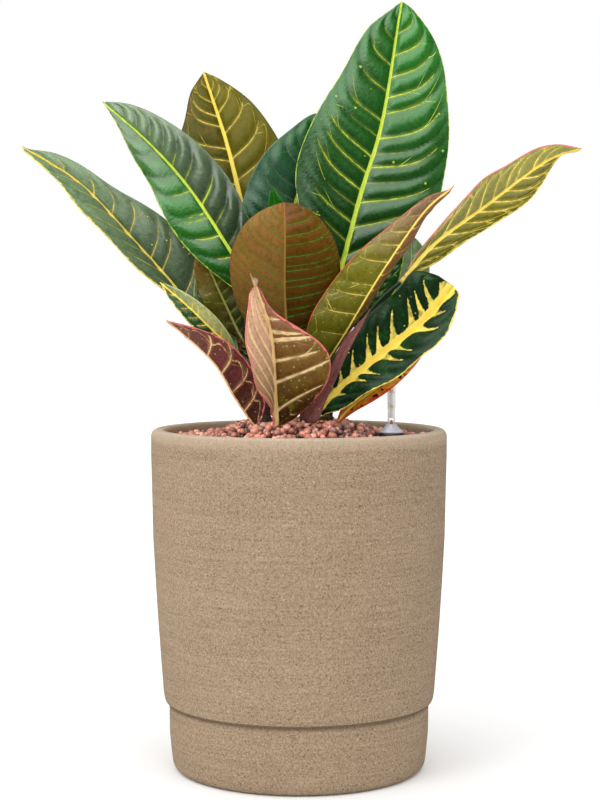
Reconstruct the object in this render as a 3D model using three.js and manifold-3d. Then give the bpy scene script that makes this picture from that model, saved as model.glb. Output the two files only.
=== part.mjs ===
// Potted croton: a shrub with coloured leaves on three short stems, in a round planter of
// cast stone filled with baked clay pebbles, with a water-level gauge beside the stems.
// Millimetres, +Z up, origin at the centre of the planter's base, -Y towards the viewer.

import * as THREE from 'three';
import { mergeVertices } from 'three/addons/utils/BufferGeometryUtils.js';
import Module from 'manifold-3d';

const wasm = await Module();
wasm.setup();

// Driving dimensions
const GAP = 0.3;
const RIM_RADIUS = 140;
const RIM_WIDTH = 13.5;
const PLANTER_HEIGHT = 323;
const FLOOR_THICKNESS = 14;
const FOOT_RADIUS = 123.4;
const STEP_HEIGHT = 66;
const PLANTER_SIDES = 48;

const BED_EDGE_HEIGHT = 314;
const BED_HEADROOM = 12;
const MOUND_HEIGHT = 6;
const MOUND_TOP_RADIUS = 40;
const MOUND_SLOPE_WIDTH = 70;
const PEBBLE_PITCH = 8.5;
const PEBBLE_RELIEF = 2.6;
const PEBBLE_SCATTER = 0.4;
const PEBBLE_SEED = 7;

const ROOT_TOP = 298;
const ROOT_BOTTOM = 165;
const ROOT_TOP_RADIUS = 78;
const ROOT_BOTTOM_RADIUS = 64;
const ROOT_CHAMFER = 8;
const ROOT_SIDES = 30;
const STEM_FOOT = 255;

const BLADE_THICKNESS = 0.9;
const BLADE_STATIONS = 12;
const SMALL_BLADE_STATIONS = 8;
const TWISTED_BLADE_STATIONS = 16;
const PETIOLE_STATIONS = 2;
const PATH_STEPS = 40;
const END_CROWDING = 0.6;
const BULGE_SPREAD = 0.12;
const BULGE_CLOSING = 3;
const RIB_AT_BASE = 2;
const SMALL_RIB_AT_BASE = 1.3;
const RIB_AT_TIP = 0.6;
const WAVE_HEIGHT = 1.4;
const WAVE_COUNT = 3;
const WAVE_FULL_WIDTH = 10;
const FOLD_FULL_WIDTH = 5;

const GAUGE_X = 87;
const GAUGE_Y = -15;
const GAUGE_SIDES = 20;
const HOUSING_RADIUS = 10;
const HOUSING_BORE = 8.5;
const HOUSING_TOP = 311;
const COLLAR_RADIUS = 12;
const COLLAR_TOP = 319.5;
const CAP_TOP = 328;
const TUBE_RADIUS = 3.8;
const TUBE_BORE = 2.9;
const TUBE_TOP = 390;
const ROD_RADIUS = 0.8;
const ROD_BORE = 2.2;
const FLOAT_RADIUS = 7;
const FLOAT_HEIGHT = 55;
const CAP_RADIUS = 11.6;
const SPIGOT_DEPTH = 8;
const PLUG_DEPTH = 4;
const PLUG_RADIUS = 4.3;
const PLUG_HEAD = 3.2;
const POINTER_RADIUS = 1.3;
const POINTER_HEIGHT = 4.1;

// Mesh helpers

function seededRandom(seed) {
  let state = seed;
  return () => {
    state = (state * 1664525 + 1013904223) % 4294967296;
    return state / 4294967296;
  };
}

function smoothStep(value) {
  const x = Math.min(1, Math.max(0, value));
  return x * x * (3 - 2 * x);
}

function welded(geometry) {
  geometry.deleteAttribute('normal');
  geometry.deleteAttribute('uv');
  return mergeVertices(geometry, 1e-3);
}

function toSolid(geometry) {
  const vertProperties = new Float32Array(geometry.attributes.position.array);
  const triVerts = new Uint32Array(geometry.index.array);
  return new wasm.Manifold(new wasm.Mesh({ numProp: 3, vertProperties, triVerts }));
}

function fromSolid(solid) {
  const { vertProperties, triVerts } = solid.getMesh();
  const geometry = new THREE.BufferGeometry();
  geometry.setAttribute('position', new THREE.BufferAttribute(vertProperties, 3));
  geometry.setIndex(new THREE.BufferAttribute(triVerts, 1));
  return geometry;
}

// A body of revolution about Z. The profile runs counter-clockwise in (radius, height).
function turned(profile, sides, x = 0, y = 0) {
  const outline = profile.map(([radius, height]) => new THREE.Vector2(radius, height));
  const geometry = new THREE.LatheGeometry(outline, sides);
  geometry.rotateX(Math.PI / 2);
  geometry.translate(x, y, 0);
  return welded(geometry);
}

function ringProfile(inner, outer, bottom, top) {
  return [[inner, bottom], [outer, bottom], [outer, top], [inner, top], [inner, bottom]];
}

function solidProfile(radius, bottom, top) {
  return [[0, bottom], [radius, bottom], [radius, top], [0, top]];
}

// A closed body through rings of equal length. Every ring lists its upper row of points from
// left to right and then its lower row from left to right, so that a thin blade is split
// into triangles alike on both faces.
function lofted(rings) {
  const columns = rings[0].length / 2;
  const positions = rings.flat().flatMap((point) => [point.x, point.y, point.z]);
  const index = [];
  const at = (ring, row, column) => (ring * 2 + row) * columns + column;
  for (let ring = 0; ring < rings.length - 1; ring += 1) {
    for (let column = 0; column < columns - 1; column += 1) {
      for (const row of [0, 1]) {
        const a = at(ring, row, column);
        const b = at(ring, row, column + 1);
        const c = at(ring + 1, row, column + 1);
        const d = at(ring + 1, row, column);
        index.push(...(row === 0 ? [a, b, c, a, c, d] : [a, c, b, a, d, c]));
      }
    }
    const last = columns - 1;
    const left = [at(ring, 0, 0), at(ring, 1, 0), at(ring + 1, 1, 0), at(ring + 1, 0, 0)];
    const right = [at(ring, 0, last), at(ring, 1, last), at(ring + 1, 1, last), at(ring + 1, 0, last)];
    index.push(left[0], left[2], left[1], left[0], left[3], left[2]);
    index.push(right[0], right[1], right[2], right[0], right[2], right[3]);
  }
  for (let column = 0; column < columns - 1; column += 1) {
    const end = rings.length - 1;
    const start = [at(0, 0, column), at(0, 0, column + 1), at(0, 1, column + 1), at(0, 1, column)];
    const close = [at(end, 0, column), at(end, 0, column + 1), at(end, 1, column + 1), at(end, 1, column)];
    index.push(start[0], start[2], start[1], start[0], start[3], start[2]);
    index.push(close[0], close[1], close[2], close[0], close[2], close[3]);
  }
  const geometry = new THREE.BufferGeometry();
  geometry.setAttribute('position', new THREE.Float32BufferAttribute(positions, 3));
  geometry.setIndex(index);
  return geometry;
}

// Planter

const CAVITY_RADIUS = RIM_RADIUS - RIM_WIDTH;
const CAVITY_STEP_RADIUS = 113;
const CAVITY_FLOOR_RADIUS = 108;
const CAVITY_STEP_HEIGHT = 70;

function planterGeometry() {
  const outside = [
    [0, 0], [112, 0], [117.4, 1.6], [120.2, 6], [121.6, 18],
    [123.2, 34], [FOOT_RADIUS, STEP_HEIGHT - 4],
    [127.4, STEP_HEIGHT], [128.8, STEP_HEIGHT + 6],
    [131, 101], [133.7, 139], [136.2, 180], [138.3, 220], [139.2, 265],
  ];
  const rim = [
    [RIM_RADIUS, 300], [RIM_RADIUS, PLANTER_HEIGHT - 4],
    [RIM_RADIUS - 3.5, PLANTER_HEIGHT], [CAVITY_RADIUS + 2.5, PLANTER_HEIGHT],
    [CAVITY_RADIUS, PLANTER_HEIGHT - 3],
  ];
  const inside = [
    [CAVITY_STEP_RADIUS, CAVITY_STEP_HEIGHT],
    [CAVITY_FLOOR_RADIUS, FLOOR_THICKNESS], [0, FLOOR_THICKNESS],
  ];
  return turned([...outside, ...rim, ...inside], PLANTER_SIDES);
}

// Stems: the axis of each as two points, with its radius at the foot and at the tip

const STEMS = {
  main: { foot: [5, 15, STEM_FOOT], tip: [9, 21, 452], radius: [7, 4.2] },
  left: { foot: [-24, -11, STEM_FOOT], tip: [-35, -12, 392], radius: [5.5, 3.6] },
  right: { foot: [22, -10, STEM_FOOT], tip: [32, -9, 392], radius: [5.5, 3.6] },
};
const STEM_SIDES = 10;
const SCAR_SPACING = 11;
const SCAR_SWELL = 0.35;

function stemPoint(stem, height) {
  const foot = new THREE.Vector3(...stem.foot);
  const tip = new THREE.Vector3(...stem.tip);
  return foot.clone().lerp(tip, (height - foot.z) / (tip.z - foot.z));
}

// Growth rings swell the stem a little where old leaves sat. Extra radius makes the cutter
// that keeps the neighbours clear.
function stemGeometry(stem, extra = 0) {
  const bottom = stem.foot[2];
  const top = stem.tip[2];
  const rounds = Math.round((top - bottom) / SCAR_SPACING);
  const outline = [];
  for (let round = 0; round <= rounds; round += 1) {
    const share = round / rounds;
    const swell = round % 2 === 0 ? SCAR_SWELL : 0;
    const radius = THREE.MathUtils.lerp(stem.radius[0], stem.radius[1], share) + swell + extra;
    outline.push({ centre: stemPoint(stem, bottom + (top - bottom) * share), radius });
  }
  outline[0].centre.z -= extra;
  outline[rounds].centre.z += extra;
  const half = STEM_SIDES / 2;
  const rings = outline.map(({ centre, radius }) => {
    const arc = (angle) => new THREE.Vector3(
      centre.x - radius * Math.cos(angle), centre.y - radius * Math.sin(angle), centre.z);
    const front = [];
    const back = [];
    for (let side = 0; side < half; side += 1) {
      const angle = (Math.PI * (side + 0.5)) / half;
      front.push(arc(angle));
      back.push(arc(-angle));
    }
    return [...front, ...back];
  });
  return lofted(rings);
}

// Leaves
// A leaf leaves its stem at a height, runs through the petiole points and then through the
// blade points to the tip. Each side of the blade has a half width, the place of its widest
// point along the blade, a power that draws it in towards the base, one towards the tip,
// and the angle in degrees by which it is folded up from the flat. The upper side looks
// along face, or to the viewer where none is given. Roll turns the blade about its midrib,
// from the first angle at the base to the second at the tip. Twist turns it further from a
// share of its length on, up to an angle. A calm leaf is a small one with a plain margin.
// A fold grows from nothing at both ends, where the blade is hardly wider than its midrib.
// Bulges are places along the blade where the outline swells by so much, or draws in.

function toVector([x, y, z]) {
  return new THREE.Vector3(x, y, z);
}

function side(width, widest, basePower, tipPower, fold, bulges = []) {
  return { width, widest, basePower, tipPower, fold, bulges };
}

const TO_VIEWER = [0, -1, 0];

const LEAVES = {
  // Tall broad green leaf that faces the front
  leaf_01: {
    stem: 'main', height: 404, blade: [[33, 38, 450], [60, 56, 547], [82, 74, 621], [102, 106, 741]],
    left: side(69, 0.4, 1.4, 0.92, 4, [[0.9, 4.5], [0.74, -3]]),
    right: side(67, 0.44, 1.5, 0.68, 6, [[0.84, 4], [0.54, 3], [0.35, 9]]),
  },
  // Glossy green leaf to the upper left
  leaf_02: {
    stem: 'main', height: 388,
    blade: [[-35, -5, 440], [-63, -4, 488], [-103, 12, 549], [-143, 32, 594], [-191, 60, 637]],
    left: side(36, 0.42, 1, 1.25, 5, [[0.62, -4], [0.86, -2]]),
    right: side(36, 0.45, 1, 0.85, 5, [[0.9, 2]]),
  },
  // Olive brown leaf behind it
  leaf_03: {
    stem: 'main', height: 402, blade: [[-44, 64, 482], [-58, 86, 545], [-73, 108, 604], [-97, 140, 676]],
    left: side(57, 0.5, 1, 1, 6, [[0.78, -6], [0.96, 3]]), right: side(53, 0.45, 1, 0.95, 6, [[0.65, -2]]),
  },
  // Dark blue-green leaf behind the tall one
  leaf_04: {
    stem: 'main', height: 416, blade: [[-15, 54, 482], [-5, 66, 535], [9, 78, 577], [43, 98, 633]],
    left: side(50, 0.3, 0.7, 1, 6, [[0.88, 6]]), right: side(50, 0.4, 0.8, 0.9, 6),
  },
  // Young leaf at the growing tip
  leaf_05: {
    stem: 'main', height: 446, blade: [[-15, 22, 502], [-21, 24, 529], [-26, 26, 552]],
    left: side(9, 0.45, 0.9, 0.95, 25), right: side(11, 0.45, 0.9, 0.95, 25), calm: true,
  },
  // Brown-orange rounded leaf in the middle
  leaf_06: {
    stem: 'main', height: 380, blade: [[-7, -14, 386], [-13, -26, 444], [-13, -34, 500], [-14, -24, 535]],
    left: side(51, 0.6, 0.9, 0.6, 5), right: side(52, 0.56, 0.95, 0.52, -3),
  },
  // Long dark leaf to the far left
  leaf_07: {
    stem: 'left', height: 374,
    blade: [[-83, 22, 406], [-115, 36, 451], [-164, 50, 506], [-214, 66, 558], [-273, 84, 596]],
    left: side(38, 0.6, 1.3, 0.8, 64, [[0.77, -6], [0.95, -5]]),
    right: side(40, 0.26, 0.7, 1.35, 0, [[0.65, -6], [0.92, 4]]),
  },
  // Maroon leaf low on the left, folded, its underside to the front
  leaf_08: {
    stem: 'left', height: 332, blade: [[-40, -40, 328], [-58, -48, 353], [-79, -58, 388], [-120, -72, 426]],
    left: side(27, 0.3, 0.5, 1.05, 14), right: side(26, 0.36, 0.7, 0.9, 80),
    face: [0, 1, 0], roll: [12, 12], calm: true,
  },
  // Dark olive leaf left of the middle
  leaf_09: {
    stem: 'left', height: 386, blade: [[-53, -2, 407], [-71, 4, 443], [-84, 8, 471], [-94, 12, 493]],
    left: side(18, 0.55, 0.8, 0.6, 5), right: side(26, 0.5, 0.8, 0.7, 3),
  },
  // Pink and olive leaf in front, with a twisted tip
  leaf_10: {
    stem: 'left', height: 327,
    blade: [[-22, -46, 327], [-23, -66, 367], [-26, -80, 413], [-35, -82, 443], [-44, -76, 468]],
    left: side(44, 0.62, 2, 2.2, 62, [[0.95, 4]]),
    right: side(53, 0.43, 1, 2.3, 5, [[0.68, -14], [0.8, -5], [0.95, 4]]),
    twist: [0.86, -150],
  },
  // Small olive leaf between the two
  leaf_11: {
    stem: 'left', height: 378, blade: [[-42, -17, 415], [-49, -17, 440], [-56, -16, 466]],
    left: side(7, 0.5, 0.8, 0.8, 3), right: side(10, 0.5, 0.8, 0.8, 3), calm: true,
  },
  // Olive leaf right of the middle, one half folded away
  leaf_12: {
    stem: 'right', height: 352,
    blade: [[21, -26, 375], [47, -38, 421], [79, -44, 474], [116, -38, 526], [144, -22, 550]],
    left: side(36, 0.24, 0.6, 1.5, 4, [[0.95, 3]]), right: side(25, 0.34, 0.85, 1, -90), roll: [0, 28],
  },
  // Khaki leaf to the far right
  leaf_13: {
    stem: 'right', height: 386, petiole: [[73, 6, 440]],
    blade: [[98, 16, 463], [131, 28, 499], [180, 44, 535], [240, 62, 579], [277, 74, 593]],
    left: side(17, 0.52, 1, 0.7, 10, [[0.24, -3], [0.55, 6], [0.8, 4]]),
    right: side(19, 0.5, 1, 0.8, 10, [[0.17, 4], [0.65, 4.5], [0.92, -7]]),
  },
  // Blunt dark leaf with a yellow midrib, low on the right
  leaf_14: {
    stem: 'right', height: 334,
    blade: [[16, -37, 337], [42, -42, 365], [77, -50, 394], [116, -58, 426], [141, -60, 457]],
    left: side(38, 0.66, 0.8, 0.25, -2, [[0.96, 9]]),
    right: side(37, 0.7, 0.8, 0.42, 50, [[0.1, 4], [0.88, -7], [0.64, -2]]),
  },
  // Spotted yellow leaf under it
  leaf_15: {
    stem: 'right', height: 327, blade: [[32, -26, 327], [50, -29, 346], [80, -38, 369], [116, -44, 400]],
    left: side(12, 0.5, 1.2, 0.8, 3), right: side(9, 0.58, 0.9, 0.6, 3), calm: true,
  },
  // Narrow maroon leaf in front
  leaf_16: {
    stem: 'right', height: 330, blade: [[7, -42, 330], [25, -52, 362], [41, -60, 397], [65, -64, 436]],
    left: side(5.2, 0.4, 0.6, 0.9, 20, [[0.08, 7]]), right: side(4.6, 0.4, 0.6, 0.9, 20, [[0.08, 7]]),
    calm: true,
  },
  // Grey-green leaf behind the khaki one
  leaf_17: {
    stem: 'main', height: 399, blade: [[71, 46, 420], [94, 50, 449], [108, 54, 476], [110, 58, 507]],
    left: side(20, 0.5, 0.8, 0.7, 5), right: side(22, 0.5, 0.8, 0.7, 5),
  },
  // Dark glossy leaf right of the middle
  leaf_18: {
    stem: 'main', height: 390, blade: [[49, 22, 421], [70, 26, 452], [85, 28, 479], [98, 30, 502]],
    left: side(20, 0.55, 0.8, 0.7, 5), right: side(18, 0.55, 0.8, 0.7, 5),
  },
  // Dark leaf behind the dark olive one
  leaf_19: {
    stem: 'left', height: 352, blade: [[-56, -4, 375], [-73, 6, 408], [-87, 12, 437], [-96, 16, 475]],
    left: side(13, 0.5, 0.8, 0.8, 3), right: side(14, 0.5, 0.8, 0.8, 3), calm: true,
  },
  // Bright green leaf behind the olive brown one
  leaf_20: {
    stem: 'main', height: 410, blade: [[-37, 104, 495], [-31, 116, 555], [-37, 124, 624]],
    left: side(20, 0.5, 0.8, 0.8, 5), right: side(24, 0.5, 0.8, 0.8, 5),
  },
  // Small yellow-edged leaf under the long dark one
  leaf_21: {
    stem: 'left', height: 364,
    blade: [[-59, -22, 396], [-81, -24, 417], [-104, -22, 439], [-130, -16, 461]],
    left: side(12, 0.4, 0.9, 0.9, 20), right: side(12, 0.4, 0.9, 0.9, 20), calm: true,
  },
  // Leaves of the back, which the front ones hide in the photo
  leaf_22: {
    stem: 'main', height: 384, blade: [[8, 70, 430], [14, 130, 490], [20, 185, 530], [24, 232, 545]],
    left: side(38, 0.5, 0.9, 0.9, 10), right: side(38, 0.5, 0.9, 0.9, 10), face: [0, -0.6, 1],
  },
  leaf_23: {
    stem: 'main', height: 370, blade: [[36, 60, 410], [62, 105, 452], [86, 150, 480], [104, 190, 490]],
    left: side(34, 0.5, 0.9, 0.9, 10), right: side(34, 0.5, 0.9, 0.9, 10), face: [-0.3, -0.5, 1],
  },
  leaf_24: {
    stem: 'main', height: 374, blade: [[-30, 64, 420], [-60, 105, 470], [-86, 150, 505], [-104, 190, 515]],
    left: side(34, 0.5, 0.9, 0.9, 10), right: side(34, 0.5, 0.9, 0.9, 10), face: [0.3, -0.5, 1],
  },
  leaf_25: {
    stem: 'left', height: 348, blade: [[-38, 40, 370], [-44, 90, 400], [-52, 140, 415], [-58, 190, 412]],
    left: side(32, 0.5, 0.9, 0.8, 10), right: side(32, 0.5, 0.9, 0.8, 10), face: [0, -0.4, 1],
  },
  leaf_26: {
    stem: 'right', height: 348, blade: [[52, 40, 372], [76, 80, 402], [98, 120, 420], [116, 160, 422]],
    left: side(28, 0.5, 0.9, 0.8, 10), right: side(28, 0.5, 0.9, 0.8, 10), face: [-0.2, -0.4, 1],
  },
  leaf_27: {
    stem: 'main', height: 424, blade: [[30, 70, 480], [48, 96, 545], [64, 118, 610], [78, 140, 660]],
    left: side(36, 0.5, 0.9, 0.9, 10), right: side(36, 0.5, 0.9, 0.9, 10), face: [0, -1, 0.4],
  },
  leaf_28: {
    stem: 'left', height: 360, blade: [[-58, 34, 392], [-82, 66, 420], [-104, 96, 440], [-124, 126, 448]],
    left: side(22, 0.5, 0.9, 0.9, 10), right: side(22, 0.5, 0.9, 0.9, 10), face: [0.3, -0.4, 1],
  },
};

// Half width at a share of the blade's length: zero at the ends, full at the widest point
function halfWidth(edge, share) {
  const towardsBase = share < edge.widest;
  const reach = towardsBase ? share / edge.widest : (1 - share) / (1 - edge.widest);
  const rise = 1 - (1 - reach) ** 2;
  const bow = edge.width * rise ** (towardsBase ? edge.basePower : edge.tipPower);
  const swell = edge.bulges.reduce((sum, [place, height]) => {
    const away = (share - place) / BULGE_SPREAD;
    return sum + height * Math.exp(-(away ** 2));
  }, 0);
  return Math.max(0, bow + swell * smoothStep(BULGE_CLOSING * rise));
}

// The frame of one station: centre on the midrib, across to the leaf's right, and the
// normal of its upper face
function station(leaf, curve, along, share) {
  const tangent = curve.getTangentAt(along);
  const face = new THREE.Vector3(...(leaf.face ?? TO_VIEWER)).normalize();
  const across = tangent.clone().cross(face).normalize();
  const [rollBase, rollTip] = leaf.roll ?? [0, 0];
  const [twistStart, twistAngle] = leaf.twist ?? [0, 0];
  const twist = twistAngle * smoothStep((share - twistStart) / (1 - twistStart));
  const roll = THREE.MathUtils.degToRad(rollBase + (rollTip - rollBase) * share + twist);
  across.applyAxisAngle(tangent, -roll);
  const normal = across.clone().cross(tangent);
  return { centre: curve.getPointAt(along), across, normal };
}

const COLUMNS = [-1, -0.5, 0, 0.5, 1];

function leafRing(leaf, frame, share, inBlade) {
  const ribRadius = THREE.MathUtils.lerp(leaf.calm ? SMALL_RIB_AT_BASE : RIB_AT_BASE, RIB_AT_TIP, share);
  const half = BLADE_THICKNESS / 2;
  const wave = leaf.calm ? 0 : WAVE_HEIGHT;
  const upper = [];
  const lower = [];
  for (const column of COLUMNS) {
    const isLeft = column < 0;
    const edge = isLeft ? leaf.left : leaf.right;
    const width = Math.max(ribRadius, inBlade ? halfWidth(edge, share) : 0);
    const distance = Math.abs(column) * width;
    const spread = (width / ribRadius - 1) / (FOLD_FULL_WIDTH - 1);
    const fold = THREE.MathUtils.degToRad(edge.fold) * smoothStep(spread);
    const direction = isLeft ? -1 : 1;
    const outward = frame.across.clone().multiplyScalar(direction * Math.cos(fold));
    outward.addScaledVector(frame.normal, Math.sin(fold));
    const normal = frame.normal.clone().multiplyScalar(Math.cos(fold));
    normal.addScaledVector(frame.across, -direction * Math.sin(fold));
    if (column === 0) {
      outward.set(0, 0, 0);
      normal.copy(frame.normal);
    }
    const swing = Math.sin(2 * Math.PI * (WAVE_COUNT * share + 0.25 * direction));
    const fade = inBlade ? Math.min(1, width / WAVE_FULL_WIDTH) : 0;
    const lift = wave * swing * column ** 2 * fade;
    const point = frame.centre.clone().addScaledVector(outward, distance).addScaledVector(normal, lift);
    const round = Math.sqrt(Math.max(0, 1 - (distance / ribRadius) ** 2));
    const rib = Math.max(half, ribRadius * round);
    upper.push(point.clone().addScaledVector(normal, inBlade ? half : rib));
    lower.push(point.clone().addScaledVector(normal, -rib));
  }
  return [...upper, ...lower];
}

function stationCount(leaf) {
  if (leaf.twist) return TWISTED_BLADE_STATIONS;
  return leaf.calm ? SMALL_BLADE_STATIONS : BLADE_STATIONS;
}

function leafGeometry(leaf) {
  const stem = STEMS[leaf.stem];
  const petiole = [stemPoint(stem, leaf.height), ...(leaf.petiole ?? []).map(toVector)];
  const blade = leaf.blade.map(toVector);
  const points = [...petiole, ...blade];
  const curve = new THREE.CatmullRomCurve3(points, false, 'catmullrom', 0.5);
  curve.arcLengthDivisions = PATH_STEPS * (points.length - 1);
  const lengths = curve.getLengths();
  const bladeStart = lengths[PATH_STEPS * petiole.length] / lengths[lengths.length - 1];
  const rings = [];
  for (let step = 0; step < PETIOLE_STATIONS; step += 1) {
    const along = (bladeStart * step) / PETIOLE_STATIONS;
    rings.push(leafRing(leaf, station(leaf, curve, along, 0), 0, false));
  }
  const stations = stationCount(leaf);
  for (let step = 0; step <= stations; step += 1) {
    const even = step / stations;
    const crowded = (1 - Math.cos(Math.PI * even)) / 2;
    const share = THREE.MathUtils.lerp(even, crowded, END_CROWDING);
    const along = bladeStart + (1 - bladeStart) * share;
    rings.push(leafRing(leaf, station(leaf, curve, along, share), share, true));
  }
  const cutter = toSolid(welded(stemGeometry(stem, GAP)));
  return fromSolid(toSolid(welded(lofted(rings))).subtract(cutter));
}

// Substrate: the bed of pebbles, and the root ball in it

function rootProfile(extra) {
  return [
    [0, ROOT_BOTTOM - extra],
    [ROOT_BOTTOM_RADIUS + extra - ROOT_CHAMFER, ROOT_BOTTOM - extra],
    [ROOT_BOTTOM_RADIUS + extra, ROOT_BOTTOM + ROOT_CHAMFER],
    [ROOT_TOP_RADIUS + extra, ROOT_TOP - ROOT_CHAMFER],
    [ROOT_TOP_RADIUS + extra - ROOT_CHAMFER, ROOT_TOP + extra],
    [0, ROOT_TOP + extra],
  ];
}

// A block whose top is a net of alternate high and low points over a gentle mound
function pebbleBlock() {
  const random = seededRandom(PEBBLE_SEED);
  const count = Math.ceil((2 * RIM_RADIUS) / PEBBLE_PITCH);
  const block = new THREE.BoxGeometry(count * PEBBLE_PITCH, count * PEBBLE_PITCH, 2, count, count, 1);
  const geometry = welded(block);
  const position = geometry.attributes.position;
  for (let vertex = 0; vertex < position.count; vertex += 1) {
    const x = position.getX(vertex);
    const y = position.getY(vertex);
    if (position.getZ(vertex) > 0) {
      const column = Math.round(x / PEBBLE_PITCH + count / 2);
      const row = Math.round(y / PEBBLE_PITCH + count / 2);
      const bump = (column + row) % 2 === 0 ? 1 : -1;
      const outwards = (Math.hypot(x, y) - MOUND_TOP_RADIUS) / MOUND_SLOPE_WIDTH;
      const mound = MOUND_HEIGHT * (1 - smoothStep(outwards));
      const scatter = THREE.MathUtils.lerp(bump, 2 * random() - 1, PEBBLE_SCATTER);
      position.setXYZ(vertex, x, y, BED_EDGE_HEIGHT + mound + PEBBLE_RELIEF * scatter);
    } else {
      position.setXYZ(vertex, x, y, 0);
    }
  }
  return geometry;
}

function substrateGeometry() {
  const bottom = FLOOR_THICKNESS + GAP;
  const slope = (CAVITY_RADIUS - CAVITY_STEP_RADIUS) / (PLANTER_HEIGHT - 3 - CAVITY_STEP_HEIGHT);
  const fillTop = BED_EDGE_HEIGHT + BED_HEADROOM;
  const fillTopRadius = CAVITY_RADIUS - slope * (PLANTER_HEIGHT - 3 - fillTop) - 2 * GAP;
  const fill = turned([
    [0, bottom], [CAVITY_FLOOR_RADIUS - 2 * GAP, bottom],
    [CAVITY_STEP_RADIUS - 2 * GAP, CAVITY_STEP_HEIGHT],
    [fillTopRadius, fillTop], [0, fillTop],
  ], PLANTER_SIDES);
  let bed = toSolid(fill).intersect(toSolid(pebbleBlock()));
  bed = bed.subtract(toSolid(turned(rootProfile(GAP), ROOT_SIDES)));
  for (const stem of Object.values(STEMS)) {
    bed = bed.subtract(toSolid(welded(stemGeometry(stem, GAP))));
  }
  const well = solidProfile(HOUSING_RADIUS + GAP, bottom - 2, HOUSING_TOP);
  const mouth = solidProfile(COLLAR_RADIUS + 2 * GAP, HOUSING_TOP - 1, fillTop + BED_HEADROOM);
  bed = bed.subtract(toSolid(turned(well, GAUGE_SIDES, GAUGE_X, GAUGE_Y)));
  bed = bed.subtract(toSolid(turned(mouth, GAUGE_SIDES, GAUGE_X, GAUGE_Y)));
  return fromSolid(bed);
}

function rootBallGeometry() {
  let ball = toSolid(turned(rootProfile(0), ROOT_SIDES));
  for (const stem of Object.values(STEMS)) {
    ball = ball.subtract(toSolid(welded(stemGeometry(stem, GAP))));
  }
  return fromSolid(ball);
}

// Water-level gauge

const SLOT_WIDTH = 3;
const SLOT_HEIGHT = 30;
const SLOT_BOTTOM = 30;
const HOUSING_FLOOR = 3;

function housingGeometry() {
  const bottom = FLOOR_THICKNESS + GAP;
  const shell = turned([
    [0, bottom], [HOUSING_RADIUS, bottom], [HOUSING_RADIUS, HOUSING_TOP - GAP],
    [HOUSING_BORE, HOUSING_TOP - GAP], [HOUSING_BORE, bottom + HOUSING_FLOOR], [0, bottom + HOUSING_FLOOR],
  ], GAUGE_SIDES, GAUGE_X, GAUGE_Y);
  let housing = toSolid(shell);
  for (const turn of [0, Math.PI / 2]) {
    const slot = new THREE.BoxGeometry(4 * HOUSING_RADIUS, SLOT_WIDTH, SLOT_HEIGHT);
    slot.rotateZ(turn);
    slot.translate(GAUGE_X, GAUGE_Y, SLOT_BOTTOM + SLOT_HEIGHT / 2);
    housing = housing.subtract(toSolid(welded(slot)));
  }
  return fromSolid(housing);
}

function collarGeometry() {
  const spigot = HOUSING_BORE - GAP;
  const bottom = HOUSING_TOP - SPIGOT_DEPTH;
  return turned([
    [ROD_BORE, bottom], [spigot, bottom], [spigot, HOUSING_TOP], [COLLAR_RADIUS, HOUSING_TOP],
    [COLLAR_RADIUS, COLLAR_TOP], [ROD_BORE, COLLAR_TOP], [ROD_BORE, bottom],
  ], GAUGE_SIDES, GAUGE_X, GAUGE_Y);
}

const SOCKET_FLOOR = 322;

function capGeometry() {
  const socket = TUBE_RADIUS + GAP;
  return turned([
    [ROD_BORE, COLLAR_TOP + GAP], [CAP_RADIUS, COLLAR_TOP + GAP],
    [CAP_RADIUS, COLLAR_TOP + 1.5], [7.6, 324.4], [5.6, 326.6], [5.2, CAP_TOP],
    [socket, CAP_TOP], [socket, SOCKET_FLOOR], [ROD_BORE, SOCKET_FLOOR], [ROD_BORE, COLLAR_TOP + GAP],
  ], GAUGE_SIDES, GAUGE_X, GAUGE_Y);
}

function tubeGeometry() {
  const profile = ringProfile(TUBE_BORE, TUBE_RADIUS, SOCKET_FLOOR + GAP, TUBE_TOP);
  return turned(profile, GAUGE_SIDES, GAUGE_X, GAUGE_Y);
}

function plugGeometry() {
  const spigot = TUBE_BORE - GAP;
  return turned([
    [0, TUBE_TOP - PLUG_DEPTH], [spigot, TUBE_TOP - PLUG_DEPTH], [spigot, TUBE_TOP + GAP],
    [PLUG_RADIUS, TUBE_TOP + GAP], [PLUG_RADIUS, TUBE_TOP + PLUG_HEAD - 0.8],
    [PLUG_RADIUS - 1.3, TUBE_TOP + PLUG_HEAD], [0, TUBE_TOP + PLUG_HEAD],
  ], GAUGE_SIDES, GAUGE_X, GAUGE_Y);
}

const SCALE_WIDTH = 2.2;
const SCALE_THICKNESS = 0.4;
const SCALE_BOTTOM = 334;
const SCALE_TOP = 385;

function scaleGeometry() {
  const height = SCALE_TOP - SCALE_BOTTOM;
  const strip = new THREE.BoxGeometry(SCALE_WIDTH, SCALE_THICKNESS, height);
  strip.translate(GAUGE_X, GAUGE_Y + 2, SCALE_BOTTOM + height / 2);
  return welded(strip);
}

const FLOAT_BOTTOM = FLOOR_THICKNESS + HOUSING_FLOOR + 2 * GAP;
const ROD_TOP = 327.4;

function floatGeometry() {
  const top = FLOAT_BOTTOM + FLOAT_HEIGHT;
  return turned([
    [0, FLOAT_BOTTOM], [FLOAT_RADIUS - 1, FLOAT_BOTTOM], [FLOAT_RADIUS, FLOAT_BOTTOM + 1],
    [FLOAT_RADIUS, top - 1], [FLOAT_RADIUS - 1, top],
    [ROD_RADIUS, top], [ROD_RADIUS, ROD_TOP], [0, ROD_TOP],
  ], GAUGE_SIDES, GAUGE_X, GAUGE_Y);
}

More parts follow.
